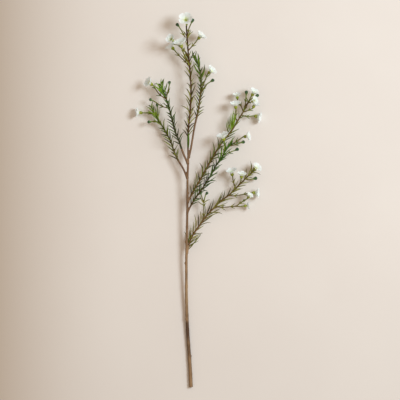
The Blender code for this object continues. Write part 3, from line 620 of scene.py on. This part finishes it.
for shoot, tones in TWIG_TONES.items():
    finishes[shoot + "_twig"] = grown_finish(
        shoot + "_twig", 0.6, list(zip((0.0, 0.45, 1.0), tones)), (0.03, 0.02, 0.006), 0.45, 0.15,
        (320, 1800), 4, (0.5, 0.0003), painted_edge_shade=(0.03, 0.02, 0.008), gloss=0.1,
    )
print("finishes", len(finishes))

# %% [markdown]
# A needle leaf changes tone from its foot to its tip, and no two are alike. A gradient along each
# leaf comes from an attribute stored on its points. A second one, a chance for each leaf, shifts
# its tone: a low chance makes it nearly black and a higher one paler. This is partly the leaf's
# own tone and partly painted light and shade, for needles that are lit or in shadow. One over 1
# makes it lime. A third tells how far up its shoot the leaf grows: the old leaves near the foot
# are olive and dry, the young ones green. Needles ripen dark at their tips, but the lime ones
# don't.

# %% Leaf finish
DARK, FRESH = (0.014, 0.04, 0.004), (0.08, 0.24, 0.008)
DRY_LEAVES = {
    "centre": ((0.09, 0.06, 0.012), (0.18, 0.16, 0.03), (0.35, 0.35, 0.08)),
    "upper_right": ((0.08, 0.058, 0.012), (0.15, 0.14, 0.025), (0.30, 0.29, 0.055)),
    "upper_left": ((0.03, 0.022, 0.005), (0.045, 0.042, 0.008), (0.14, 0.13, 0.022)),
    "lower_left": ((0.06, 0.045, 0.008), (0.15, 0.135, 0.018), (0.32, 0.29, 0.045)),
    "long_right": ((0.05, 0.042, 0.012), (0.11, 0.12, 0.025), (0.24, 0.26, 0.06)),
    "mid_right": ((0.035, 0.04, 0.01), (0.05, 0.085, 0.012), (0.14, 0.20, 0.03)),
    "lower_right": ((0.10, 0.075, 0.012), (0.20, 0.165, 0.03), (0.34, 0.31, 0.07)),
}
FRESH_LEAVES = {
    "centre": ((0.05, 0.045, 0.008), (0.15, 0.18, 0.025), (0.30, 0.36, 0.06)),
    "upper_right": ((0.03, 0.04, 0.006), (0.04, 0.13, 0.01), FRESH),
    "upper_left": (DARK, (0.05, 0.135, 0.015), (0.17, 0.36, 0.03)),
    "lower_left": (DARK, (0.075, 0.16, 0.012), (0.20, 0.36, 0.03)),
    "long_right": ((0.05, 0.055, 0.01), (0.10, 0.16, 0.018), (0.22, 0.34, 0.04)),
    "mid_right": (DARK, (0.025, 0.09, 0.01), (0.09, 0.25, 0.02)),
    "lower_right": ((0.05, 0.05, 0.012), (0.12, 0.15, 0.025), (0.25, 0.30, 0.06)),
}


def leaf_finish(name, dry, fresh):
    material, tree, shader = blank_material(name, 0.42, subsurface=0.08, gloss=0.1)
    grown = placed_group(tree, growth, Uneven=0.5)
    flecks = placed_group(tree, mottling, Patch_Scale=260, Grain_Scale=2200)
    old, young = (
        ramp_of(tree, grown["Mixed"], list(zip((0.0, 0.5, 1.0), tones))) for tones in (dry, fresh)
    )
    colour = tinted(tree, stored(tree, "age"), old, young)
    # Partly painted light: leaves with a higher chance turn paler, as if lit.
    paler_tone_and_painted_light = tuple(min(1.0, 1.3 * (a + b) + 0.01) for a, b in zip(dry[1], fresh[1]))
    colour = tinted(tree, grown["Chance"], colour, paler_tone_and_painted_light, most=0.7)
    ripened = mask_of(tree, grown["Mixed"], [(0.68, 0), (0.95, 1)])
    colour = tinted(tree, ripened, colour, (0.035, 0.03, 0.008), most=0.75)
    newest = worked_out(tree, "SUBTRACT", grown["Chance"], 1.0, clamp=True)
    colour = tinted(tree, newest, colour, (0.27, 0.46, 0.03))
    # Partly painted shade: leaves with a low chance turn nearly black, as if in shadow.
    darker_tone_and_painted_shade = mask_of(tree, grown["Chance"], [(0.0, 0.85), (0.2, 0.5), (0.4, 0)])
    colour = tinted(tree, darker_tone_and_painted_shade, colour, (0.02, 0.017, 0.007), most=0.85)
    colour = tinted(tree, flecks["Patch"], colour, (0.012, 0.02, 0.004), most=0.4)
    finished(tree, shader, colour, flecks["Height"], 0.35, 0.0002)
    return material


for shoot in SHOOTS:
    leaf = shoot + "_leaf"
    finishes[leaf] = leaf_finish(leaf, DRY_LEAVES[shoot], FRESH_LEAVES[shoot])
print("finishes", len(finishes))

# %% [markdown]
# A waxflower petal is thick, waxy and milky. It is white at the edge, cool grey-green towards
# its claw, and faint veins fan out from there. Light goes a little way in, so the shader has
# some subsurface. A faint cool glow is painted light, for the sky light that comes through it.

# %% Petal finish
def petal_finish():
    material, tree, shader = blank_material("petal_white", 0.4, subsurface=0.7)
    shader.inputs["Subsurface Radius"].default_value = (0.9, 1.0, 1.0)
    shader.inputs["Subsurface Scale"].default_value = 0.0008
    # Painted light: a faint cool emission makes the petals glow, for light shining through them.
    shader.inputs["Emission Color"].default_value = (0.45, 0.74, 1.0, 1)
    shader.inputs["Emission Strength"].default_value = 0.07
    grown = placed_group(tree, growth, Uneven=0.12)
    flecks = placed_group(tree, mottling, Patch_Scale=240, Grain_Scale=1500)
    colour = ramp_of(tree, grown["Mixed"], [
        (0.0, (0.50, 0.60, 0.13)), (0.22, (0.72, 0.79, 0.45)), (0.42, (0.80, 0.84, 0.78)),
        (1.0, (0.83, 0.86, 0.86)),
    ])
    colour = tinted(tree, flecks["Patch"], colour, (0.66, 0.70, 0.70), most=0.4)
    colour = tinted(tree, stored(tree, "vein"), colour, (0.60, 0.67, 0.61), most=0.4)
    finished(tree, shader, colour, flecks["Height"], 0.25, 0.0003)
    return material


finishes["petal"] = petal_finish()
print("finishes", len(finishes))

# %% [markdown]
# Bmesh can turn a closed shape inside out when it recalculates normals on a thin, pointed form.
# The sign of the volume tells, so each shape is checked before it joins its piece. Each point
# also gets four numbers that the finishes read: how far along it is, its leaf's chance, how near
# a vein it is, and how far up its shoot the leaf grows.

# %% Helpers for shapes
def spot(route_point):
    return (Vector(route_point) - Vector(REST_MIDDLE)) * MM


def smooth_line(points, spacing):
    """Points about `spacing` apart on a smooth curve through the given ones."""
    ends = [2 * points[0] - points[1], *points, 2 * points[-1] - points[-2]]
    dense = [points[0]]
    for before, start, end, after in zip(ends, ends[1:], ends[2:], ends[3:]):
        for step in range(1, 13):
            t = step / 12
            bend = (2 * before - 5 * start + 4 * end - after) * t * t
            bend += (3 * start - before - 3 * end + after) * t * t * t
            dense.append(start + ((end - before) * t + bend) / 2)
    travelled = np.cumsum([0] + [(b - a).length for a, b in zip(dense, dense[1:])])
    wanted = np.linspace(0, travelled[-1], max(2, round(travelled[-1] / spacing) + 1))
    columns = [np.interp(wanted, travelled, [p[axis] for p in dense]) for axis in range(3)]
    return [Vector(p) for p in zip(*columns)]


def part_of_route(route, start, end=None):
    """A line with a point every millimetre, between two distances from the foot."""
    fine = smooth_line([spot(p) for p in route], 1 * MM)
    last = len(fine) - 1 if end is None else min(len(fine) - 1, end)
    return fine[start : last + 1]


def new_shape():
    shape = bmesh.new()
    for layer in ("along", "chance", "vein", "age"):
        shape.verts.layers.float.new(layer)
    return shape


def mark(shape, verts, along=None, chance=None):
    for layer, value in (("along", along), ("chance", chance)):
        if value is not None:
            for vert in verts:
                vert[shape.verts.layers.float[layer]] = value


def pour(piece, shape):
    """Joins the shape to the piece, through a mesh that is then thrown away."""
    passing = bpy.data.meshes.new("passing")
    shape.to_mesh(passing)
    shape.free()
    piece.from_mesh(passing)
    bpy.data.meshes.remove(passing)


def add_shape(piece, shape, finish=0):
    """Faces outwards, finish number set, joined to the piece."""
    bmesh.ops.recalc_face_normals(shape, faces=shape.faces)
    if shape.calc_volume(signed=True) < 0:
        bmesh.ops.reverse_faces(shape, faces=shape.faces)
    for face in shape.faces:
        face.material_index = finish
    pour(piece, shape)


def new_piece(name, piece, materials, stands_for=()):
    mesh = bpy.data.meshes.new(name)
    piece.to_mesh(mesh)
    piece.free()
    mesh.shade_smooth()
    mesh.set_sharp_from_angle(angle=math.radians(55))
    for material in materials:
        mesh.materials.append(material)
    made = bpy.data.objects.new(name, mesh)
    bpy.context.scene.collection.objects.link(made)
    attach(made, "root")
    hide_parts(*stands_for)
    print(name, sum(len(face.vertices) - 2 for face in mesh.polygons), "triangles")


print("millimetres of stem", len(part_of_route(STEM_ROUTE, 0)) - 1)

# %% [markdown]
# A twig grows from its foot, and so does its mesh: a circle is extruded along the route, ring by
# ring, and each ring is carried, turned and scaled to its place. A bevelled curve would give the
# same tube, but it has no points of its own for the growth attribute or for swellings.

# %% Grow a twig
UP = Vector((0, 0, 1))


def standing_frames(route):
    """A placement at each point with +Z along the route, turned as little as can be."""
    frames, turn = [], None
    for number, at in enumerate(route):
        way = route[min(number + 1, len(route) - 1)] - route[max(number - 1, 0)]
        if turn is None:
            turn = way.to_track_quat("Z", "Y")
        else:
            turn = (turn @ UP).rotation_difference(way) @ turn
        frames.append(Matrix.Translation(at) @ turn.to_matrix().to_4x4())
    return frames


def grown_tube(piece, route, radii, sides, draw, rough=0.0, span=(0, 1), finish=0):
    """A closed tube, each ring up to `rough` wider or narrower, its growth marked over `span`."""
    shape = new_shape()
    chance = draw.random()
    ring = bmesh.ops.create_circle(shape, cap_ends=True, segments=sides, radius=1)["verts"]
    frames = standing_frames(route)
    steps = [frame @ Matrix.Scale(radius, 4) for frame, radius in zip(frames, radii)]
    before = steps[0]
    bmesh.ops.transform(shape, matrix=before, verts=ring)
    mark(shape, ring, span[0], chance)
    for number, after in enumerate(steps[1:], 1):
        edges = [edge for vert in ring for edge in vert.link_edges if edge.other_vert(vert) in ring]
        grown = bmesh.ops.extrude_edge_only(shape, edges=list(set(edges)))["geom"]
        ring = [part for part in grown if isinstance(part, bmesh.types.BMVert)]
        after = after @ Matrix.Scale(1 + draw.uniform(-rough, rough), 4)
        bmesh.ops.transform(shape, matrix=after @ before.inverted(), verts=ring)
        mark(shape, ring, span[0] + (span[1] - span[0]) * number / (len(steps) - 1), chance)
        before = after
    edges = {edge for vert in ring for edge in vert.link_edges if edge.other_vert(vert) in ring}
    bmesh.ops.holes_fill(shape, edges=list(edges))
    add_shape(piece, shape, finish)


# %% [markdown]
# The woody stem is one grown body: the side shoots leave it in swollen collars, and old leaf
# bases stand out as small knots. Separate tubes would show hard creases where they meet, so all
# of them are put in one mesh, wrapped by a fine voxel remesh, and smoothed a little.

# %% The woody stem
KNOTS = [(58, -12), (128, 150), (232, 186), (272, 176), (363, 20), (401, 160)]  # mm, degrees
NODE_START, NODE_STEP, NODE_LENGTH = 0.055, 0.061, 0.006  # in parts of the stem's length
NODE_SWELL, COLLAR_SWELL = 0.10, 0.7
WOOD_SEED = 21
draw = random.Random(WOOD_SEED)
wood = new_shape()
fine_stem = part_of_route(STEM_ROUTE, 0, WOOD_LENGTH)
stem_line = fine_stem[::3]
marks = np.linspace(0, 1, len(stem_line))
widths = np.interp(marks, (0, 0.5, 1), WOOD_RADII) * MM
for node in np.arange(NODE_START, 1, NODE_STEP):
    widths = widths * (1 + NODE_SWELL * np.exp(-(((marks - node) / NODE_LENGTH) ** 2)))
grown_tube(wood, stem_line, [float(w) for w in widths], 20, draw, rough=0.02)
for name, shoot in SHOOTS.items():
    if name != "centre":
        stub = part_of_route(shoot["route"], 0, shoot["bare"])[::2]
        foot = shoot["radii"][0] * MM
        swell = [foot * (1 + COLLAR_SWELL * math.exp(-n / 2.5)) for n in range(len(stub))]
        grown_tube(wood, stub, swell, 14, draw, rough=0.02)
for along, turn in KNOTS:
    knot = new_shape()
    bmesh.ops.create_icosphere(knot, subdivisions=3, radius=1.4 * MM)
    bmesh.ops.scale(knot, vec=(1, 1.8, 1), verts=knot.verts)
    angle = math.radians(turn)
    reach = 0.95 * float(np.interp(along / len(fine_stem), (0, 0.5, 1), WOOD_RADII)) * MM
    shift = fine_stem[along] + Vector((math.cos(angle), 0, math.sin(angle))) * reach
    bmesh.ops.translate(knot, vec=shift, verts=knot.verts)
    add_shape(wood, knot)


def wrapped(name, rough_shape, voxel, rounds):
    """One skin round everything in the mesh: a voxel remesh, applied, then smoothed."""
    mesh = bpy.data.meshes.new(name)
    rough_shape.to_mesh(mesh)
    rough_shape.free()
    guide = bpy.data.objects.new(name, mesh)
    bpy.context.scene.collection.objects.link(guide)
    remesh = guide.modifiers.new("wrap", "REMESH")
    remesh.mode, remesh.voxel_size = "VOXEL", voxel
    ready = guide.evaluated_get(bpy.context.evaluated_depsgraph_get())
    skin = bmesh.new()
    skin.from_mesh(ready.to_mesh())
    ready.to_mesh_clear()
    bpy.data.objects.remove(guide)
    for _ in range(rounds):
        bmesh.ops.smooth_vert(
            skin, verts=skin.verts, factor=0.5, use_axis_x=True, use_axis_y=True, use_axis_z=True
        )
    return skin


skin = wrapped("woody_skin", wood, 0.55 * MM, 3)
for vert in skin.verts:
    vert.co.z = max(vert.co.z, 0)
new_piece("woody_bark", skin, [finishes["bark"]], ["woody_stem"])

# %% [markdown]
# A needle is a slim, three-cornered blade with a narrow foot and a fine point, bent back a
# little. Hundreds are needed, so one template is shaped once from a cone and cut across into
# rings, and each leaf is that template laid along its own curved path.

# %% The needle template and its path
NEEDLE_CUTS = (0.06, 0.2, 0.38, 0.58, 0.76, 0.9)
NEEDLE_WIDEST, NEEDLE_TIP = 0.3, 0.04
PATH_STEPS = 7


def blade_template(cuts, sides):
    """A unit rod along Z, cut across, whose width follows a leaf's outline."""
    shape = new_shape()
    bmesh.ops.create_cone(
        shape, cap_ends=True, segments=sides, radius1=1, radius2=1, depth=1,
        matrix=Matrix.Translation((0, 0, 0.5)),
    )
    for height in cuts:
        everything = [*shape.verts, *shape.edges, *shape.faces]
        bmesh.ops.bisect_plane(shape, geom=everything, plane_co=(0, 0, height), plane_no=(0, 0, 1))
    for vert in shape.verts:
        along = vert.co.z
        if along < NEEDLE_WIDEST:
            outline = 0.5 + 0.5 * along / NEEDLE_WIDEST
        else:
            outline = 1 - ((along - NEEDLE_WIDEST) / (1 - NEEDLE_WIDEST)) ** 2.2
        vert.co.x *= max(outline, NEEDLE_TIP)
        vert.co.y *= max(outline, NEEDLE_TIP)
    if shape.calc_volume(signed=True) < 0:
        bmesh.ops.reverse_faces(shape, faces=shape.faces)
    mesh = bpy.data.meshes.new("blade_template")
    shape.to_mesh(mesh)
    shape.free()
    return mesh


def leaf_path(root, axis, outward, length, spread, bend):
    """Points along a leaf that leaves its twig at an angle and bends out."""
    path = [root]
    for step in range(PATH_STEPS):
        angle = math.radians(spread + bend * step / (PATH_STEPS - 1))
        way = axis * math.cos(angle) + outward * math.sin(angle)
        path.append(path[-1] + way * length / PATH_STEPS)
    return path


def lay_leaf(piece, template, path, width, thick, chance, age=1.0):
    """Puts a copy of the template along the path, flat side up, and off the surface."""
    first = len(piece.verts)
    piece.from_mesh(template)
    piece.verts.ensure_lookup_table()
    layers = piece.verts.layers.float
    for vert in piece.verts[first:]:
        along = min(max(vert.co.z, 0.0), 1.0)
        place = along * (len(path) - 1)
        low = min(int(place), len(path) - 2)
        way = (path[low + 1] - path[low]).normalized()
        side = way.cross(UP)
        side = side.normalized() if side.length > 0.05 else Vector((1, 0, 0))
        up = side.cross(way)
        at = path[low].lerp(path[low + 1], place - low)
        vert.co = at + side * vert.co.x * width + up * vert.co.y * thick
        vert.co.z = max(vert.co.z, 0.15 * MM)
        for layer, value in (("along", along), ("chance", chance), ("age", age)):
            vert[layers[layer]] = value


needle_mesh = blade_template(NEEDLE_CUTS, 5)
print("needle template", len(needle_mesh.vertices), "points")

# %% [markdown]
# The stalks end in bell-shaped green cups, or in closed buds. Both are round, so a profile spun
# about its axis makes them, with ribs pressed in afterwards by moving the points of the spin in
# and out.

# %% Spun cups and buds
CUP_HEIGHT, CUP_RADIUS = 6.0 * MM, 3.2 * MM
BUD_LENGTH, BUD_RADIUS = 8.8 * MM, 3.1 * MM
STALK_RADIUS = 1.0 * MM


def facing_frame(at, facing, turn=0.0):
    stand = Vector(facing).normalized().to_track_quat("Z", "Y").to_matrix().to_4x4()
    return Matrix.Translation(at) @ stand @ Matrix.Rotation(turn, 4, "Z")


def spun(profile, steps, ribs=0, depth=0.0, chance=0.5):
    """A round shape from (radius, height) points, its growth marked from foot to top."""
    shape = new_shape()
    verts = [shape.verts.new((radius, 0, height)) for radius, height in profile]
    edges = [shape.edges.new(pair) for pair in zip(verts, verts[1:])]
    bmesh.ops.spin(
        shape, geom=verts + edges, axis=(0, 0, 1), cent=(0, 0, 0), angle=2 * math.pi, steps=steps,
        use_merge=True,
    )
    bmesh.ops.remove_doubles(shape, verts=shape.verts, dist=0.002 * MM)
    top = max(height for _, height in profile)
    for vert in shape.verts:
        mark(shape, [vert], vert.co.z / top, chance)
        angle = math.atan2(vert.co.y, vert.co.x)
        height = vert.co.z / top
        swell = 1 + depth * math.cos(ribs * angle) * min(1, 4 * height * (1.05 - height))
        vert.co.x *= swell
        vert.co.y *= swell
    return shape


def scaled(points, wide, tall):
    return [(across * wide, up * tall) for across, up in points]


def cup_shape(size, draw):
    foot = [(0, 0), (STALK_RADIUS, 0), (1.1 * STALK_RADIUS, 0.08 * CUP_HEIGHT)]
    bell = [(0.45, 0.2), (0.78, 0.42), (0.97, 0.66), (1.03, 0.86), (1, 0.97), (0.86, 1), (0, 0.96)]
    profile = foot + scaled(bell, CUP_RADIUS * size, CUP_HEIGHT)
    return spun(profile, 20, ribs=10, depth=0.045, chance=draw.random())


def bud_shape(size, draw):
    drop = [(0.4, 0.1), (0.6, 0.26), (0.86, 0.46), (1.02, 0.64), (0.98, 0.78), (0.8, 0.9),
            (0.45, 0.98), (0.15, 1.01), (0, 1.015)]
    profile = [(0, 0), (STALK_RADIUS, 0)] + scaled(drop, BUD_RADIUS * size, BUD_LENGTH * size)
    return spun(profile, 20, ribs=5, depth=0.05, chance=draw.random())


print("cup", CUP_HEIGHT, "bud", BUD_LENGTH, "metres high")

# %% [markdown]
# A bloom has five broad petals on narrow claws, cupped round a green saucer. A petal starts as
# a filled circle, inset into rings so that it can bend, is pressed into its outline and its cup,
# and gets its thickness from solidify. The same seeded draw as in the solids turns each bloom.

# %% Petals
PETAL_LENGTH, PETAL_WIDTH, PETAL_ROOT = 12.0 * MM, 11.0 * MM, 1.2 * MM
DISC_RADIUS, DISC_HEIGHT, STYLE_HEIGHT = 2.8 * MM, 1.1 * MM, 3.6 * MM
PETALS, PETAL_THICK = 5, 0.42 * MM


def petal_shape(size, turn, rise, draw):
    shape = new_shape()
    bmesh.ops.create_circle(shape, cap_ends=True, segments=22, radius=1)
    for _ in range(4):
        middle = [face for face in shape.faces if len(face.verts) > 4]
        bmesh.ops.inset_region(shape, faces=middle, thickness=0.2)
    bmesh.ops.poke(shape, faces=[face for face in shape.faces if len(face.verts) > 4])
    wave, ripple, chance = draw.uniform(0, 6.3), draw.uniform(0.4, 0.9) * MM, draw.random()
    along_layer, vein_layer = (shape.verts.layers.float[name] for name in ("along", "vein"))
    for vert in shape.verts:
        x, y = vert.co.x, vert.co.y
        edge, angle = math.hypot(x, y), math.atan2(y, x)
        along = (x + 1) / 2
        across = y * PETAL_WIDTH / 2 * size * (0.34 + 0.96 * along)
        out = (PETAL_ROOT + PETAL_LENGTH * math.cos(rise) * along) * size
        lift = PETAL_LENGTH * size * (math.sin(rise) * along - 0.1 * along**4) + 0.14 * abs(across)
        lift += ripple * edge**3 * (math.sin(3 * angle + wave) + 0.6 * math.sin(7 * angle - wave))
        lift += 0.5 * MM * (y * y - 0.3) * along
        fan = math.atan2(y, x + 1.25)
        vert[along_layer] = along
        vert[vein_layer] = max(0.0, math.cos(fan * 16)) * min(1, 1.6 * (1 - edge))
        vert.co = (out, across, lift)
    mark(shape, shape.verts, chance=chance)
    bmesh.ops.solidify(shape, geom=list(shape.faces), thickness=PETAL_THICK)
    bmesh.ops.transform(shape, matrix=Matrix.Rotation(turn, 4, "Z"), verts=shape.verts)
    return shape


print("petal", PETAL_LENGTH, "by", PETAL_WIDTH, "metres")

# %% [markdown]
# In the middle stands a shallow saucer with a raised rim and a short pale style. Ten stamens lean
# in from the rim. They are tiny, so each is a short tapered tube with a small round head.

# %% The heart of a bloom
STAMENS = 10


def heart_shape(size, draw):
    saucer = [(0, 0), (0.9, 0.05), (1, 0.5), (0.98, 0.95), (0.84, 1.12), (0.66, 0.85), (0.3, 0.8)]
    style = [(0.28, 0.86), (0.42, 0.95), (0, 1)]
    profile = scaled(saucer, DISC_RADIUS * size, DISC_HEIGHT)
    profile += [(0.36 * MM, 1.1 * DISC_HEIGHT), *scaled(style, MM, STYLE_HEIGHT)]
    return spun(profile, 20, ribs=10, depth=0.03, chance=draw.random())


def add_stamens(piece, size, frame, draw):
    for number in range(STAMENS):
        angle = math.radians(360 / STAMENS * number + draw.uniform(-5, 5))
        out = Vector((math.cos(angle), math.sin(angle), 0))
        foot = out * 0.88 * DISC_RADIUS * size + Vector((0, 0, 0.9 * DISC_HEIGHT))
        tall = draw.uniform(1.2, 1.8) * MM
        line = [foot + Vector((0, 0, tall * t)) - out * 0.9 * MM * t * t for t in (0, 0.5, 1)]
        line = [frame @ p for p in line]
        grown_tube(piece, line, [0.2 * MM, 0.17 * MM, 0.15 * MM], 5, draw, span=(0, 0.6))
        head, tip = new_shape(), Matrix.Translation(line[-1])
        bmesh.ops.create_icosphere(head, subdivisions=1, radius=0.34 * MM, matrix=tip)
        mark(head, head.verts, 1.0, draw.random())
        add_shape(piece, head)


print("saucer", 2 * DISC_RADIUS, "metres wide,", STAMENS, "stamens")

# %% [markdown]
# Each bloom is one piece with three finishes and stands for its own node. The numbers drawn for
# its turn and its petals come in the same order as in the solids, so the fine petals lie where
# the plain ones do.

# %% Blossoms
SOLIDS_SEED, PETAL_SEED = 7, 11
GAP = 0.3  # millimetres between a cup and its bloom, and by which a cup sinks over its stalk
BLOOM_MIDDLE, BLOOM_REACH = 3 * MM, 8 * MM  # for the room that the needles leave
bloom_draw, fine_draw = random.Random(SOLIDS_SEED), random.Random(PETAL_SEED)
bloom_middles = []


def blossom(name, at, facing, size):
    turn = math.radians(bloom_draw.uniform(0, 72))
    rise = math.radians(bloom_draw.uniform(38, 48))
    frame = facing_frame(at, facing, turn)
    flower, petals, stamens = new_shape(), new_shape(), new_shape()
    for number in range(PETALS):
        angle = math.radians(360 / PETALS * number + bloom_draw.uniform(-4, 4))
        tilt = rise + math.radians(bloom_draw.uniform(-4, 4))
        add_shape(petals, petal_shape(size, angle, tilt, fine_draw))
    bmesh.ops.translate(petals, vec=(0, 0, 0.5 * DISC_HEIGHT), verts=petals.verts)
    bmesh.ops.transform(petals, matrix=frame, verts=petals.verts)
    heart = heart_shape(size, fine_draw)
    bmesh.ops.transform(heart, matrix=frame, verts=heart.verts)
    add_stamens(stamens, size, frame, fine_draw)
    for number, part in enumerate((petals, heart, stamens)):
        for face in part.faces:
            face.material_index = number
        pour(flower, part)
    for vert in flower.verts:
        vert.co.z = max(vert.co.z, 0)
    new_piece(
        name.replace("bloom", "blossom"), flower,
        [finishes["petal"], finishes["heart"], finishes["stamen"]], [name],
    )
    bloom_middles.append((frame @ Vector((0, 0, BLOOM_MIDDLE)), BLOOM_REACH * size))


stalk_ends = {name: [] for name in SHOOTS}
for name in SHOOTS:
    blooms = 0
    for kind, size, facing, route in STALKS[name]:
        face = Vector(facing).normalized()
        sunk = spot(route[-1]) - face * GAP * MM
        stalk_ends[name].append((kind, size, face, sunk, [spot(p) for p in route]))
        if kind == "bloom":
            blooms += 1
            blossom(f"bloom_{name}_{blooms}", sunk + face * (CUP_HEIGHT + GAP * MM), face, size)

# %% [markdown]
# A shoot is a green twig with its stalks, a piece for its cups, one for its buds and one for its
# needles. The first three come from the tubes and spins above. The twig starts a little way
# inside its wood, so that no gap shows between them.

# %% Twigs, stalks, cups and buds
SUNK = 5  # millimetres of each twig inside its wood
TWIG_SEED, HEAD_SEED = 31, 41
twig_lines = {}


def shoot_twigs(name):
    shoot, draw = SHOOTS[name], random.Random(TWIG_SEED)
    twigs = new_shape()
    line = part_of_route(shoot["route"], shoot["bare"] - SUNK)
    twig_lines[name] = line
    foot, tip = (radius * MM for radius in shoot["radii"])
    rings = line[::3] + ([line[-1]] if (len(line) - 1) % 3 else [])
    widths = [foot + (tip - foot) * number / (len(rings) - 1) for number in range(len(rings))]
    widths[0] *= 0.8
    grown_tube(twigs, rings, widths, 10, draw, rough=0.06)
    for *_, route in stalk_ends[name]:
        stalk = smooth_line(route, 2.5 * MM)
        widths = [STALK_RADIUS * (1.35 - 0.35 * min(1, n / 3)) for n in range(len(stalk))]
        grown_tube(twigs, stalk, widths, 8, draw, rough=0.05, finish=1)
    materials = [finishes[name + "_twig"], finishes["stalk"]]
    new_piece(name + "_twigs", twigs, materials)


def shoot_cups(name):
    draw = random.Random(HEAD_SEED)
    for kind, maker, finish in (("bloom", cup_shape, "cup"), ("bud", bud_shape, "bud")):
        heads = new_shape()
        for end, size, face, sunk, _ in stalk_ends[name]:
            if end == kind:
                scale = min(1, 0.35 + 0.65 * size) if kind == "bloom" else size
                head = maker(scale, draw)
                bmesh.ops.transform(head, matrix=facing_frame(sunk, face), verts=head.verts)
                add_shape(heads, head)
        if len(heads.verts):
            new_piece(f"{name}_{finish}s", heads, [finishes[finish]])


for name in SHOOTS:
    shoot_twigs(name)
    shoot_cups(name)

# %% [markdown]
# Needles stand in pairs, each pair crosswise to the last, and a little closer together than on
# the solids. One that would pierce a bloom is left off. Short leaves fill the corners between
# needle and twig, the longer stalks carry small pairs, and the young leaves come last.

# %% Needles
NEEDLE_WIDTH, NEEDLE_THICK = 1.05 * MM, 0.6 * MM  # half of each
THINNED = 2.4  # how much farther apart the pairs stand past thin_from
NEEDLE_SEED = 51


def clear_of_blooms(path):
    return all((p - middle).length > reach for p in path[2:] for middle, reach in bloom_middles)


def tone_of(along, draw):
    """A leaf's chance: any tone at the shoot's foot, mostly fresh ones near its tip."""
    return min(1.0, 0.7 * draw.random() + 0.5 * along**3)


def add_bracts(leaves, name, draw):
    """Pairs of small leaves on the longer stalks."""
    for *_, route in stalk_ends[name]:
        stalk = smooth_line(route, 2 * MM)
        for here in range(5, len(stalk) - 4, 9):
            axis = (stalk[here + 1] - stalk[here - 1]).normalized()
            side = axis.cross(UP).normalized()
            for outward in (side, -side):
                path = leaf_path(stalk[here], axis, outward, draw.uniform(7, 12) * MM, 20, 18)
                tone = tone_of(1, draw)
                lay_leaf(leaves, needle_mesh, path, 0.85 * NEEDLE_WIDTH, NEEDLE_THICK, tone)


def shoot_needles(name):
    shoot, draw = SHOOTS[name], random.Random(NEEDLE_SEED)
    leaves, line = new_shape(), twig_lines[name]
    at, number, set_count = float(shoot["leafless"] + SUNK), 0, 0
    while at < len(line) - 1:
        here = int(at)
        axis = (line[min(here + 2, len(line) - 1)] - line[max(here - 2, 0)]).normalized()
        side = axis.cross(UP).normalized()
        over = side.cross(axis)
        along = here / (len(line) - 1)
        for half in (0, 180):
            around = math.radians(35 + 90 * (number % 2) + half + draw.uniform(-16, 16))
            outward = side * math.cos(around) + over * math.sin(around)
            length = shoot["leaf"] * MM * draw.uniform(0.68, 1.28) * (1 - 0.35 * along**3)
            spread = 24 + draw.uniform(-12, 20) - 6 * along**2
            bend = 26 + draw.uniform(-24, 26)
            path = leaf_path(line[here], axis, outward, length, spread, bend)
            if clear_of_blooms(path):
                width, chance = NEEDLE_WIDTH * draw.uniform(0.8, 1.15), tone_of(along, draw)
                age = min(1.0, max(0.0, 1.5 * along - 0.2 + draw.uniform(-0.15, 0.15)))
                lay_leaf(leaves, needle_mesh, path, width, NEEDLE_THICK, chance, age)
                set_count += 1
            for _ in range(shoot.get("axil", 1) if draw.random() < 0.35 + 0.6 * along else 0):
                sprout = (outward + side * draw.uniform(-0.9, 0.9)).normalized()
                length = draw.uniform(0.3, 0.52) * shoot["leaf"] * MM
                path = leaf_path(line[here], axis, sprout, length, draw.uniform(9, 26), 8)
                tone = tone_of(1, draw)
                lay_leaf(leaves, needle_mesh, path, 0.8 * NEEDLE_WIDTH, NEEDLE_THICK, tone, along)
        number += 1
        thin = at > shoot.get("thin_from", math.inf)
        at += shoot["every"] * (THINNED if thin else draw.uniform(0.85, 1.15))
    add_bracts(leaves, name, draw)
    for width, tone, route in YOUNG_LEAVES[name]:
        path = smooth_line([spot(p) for p in route], 2 * MM)
        lay_leaf(leaves, needle_mesh, path, width * MM / 2, NEEDLE_THICK, tone)
    print(name, set_count, "needles")
    finish, node = finishes[name + "_leaf"], "leafy_shoot_" + name
    new_piece(name + "_needles", leaves, [finish], [node])


for name in SHOOTS:
    shoot_needles(name)
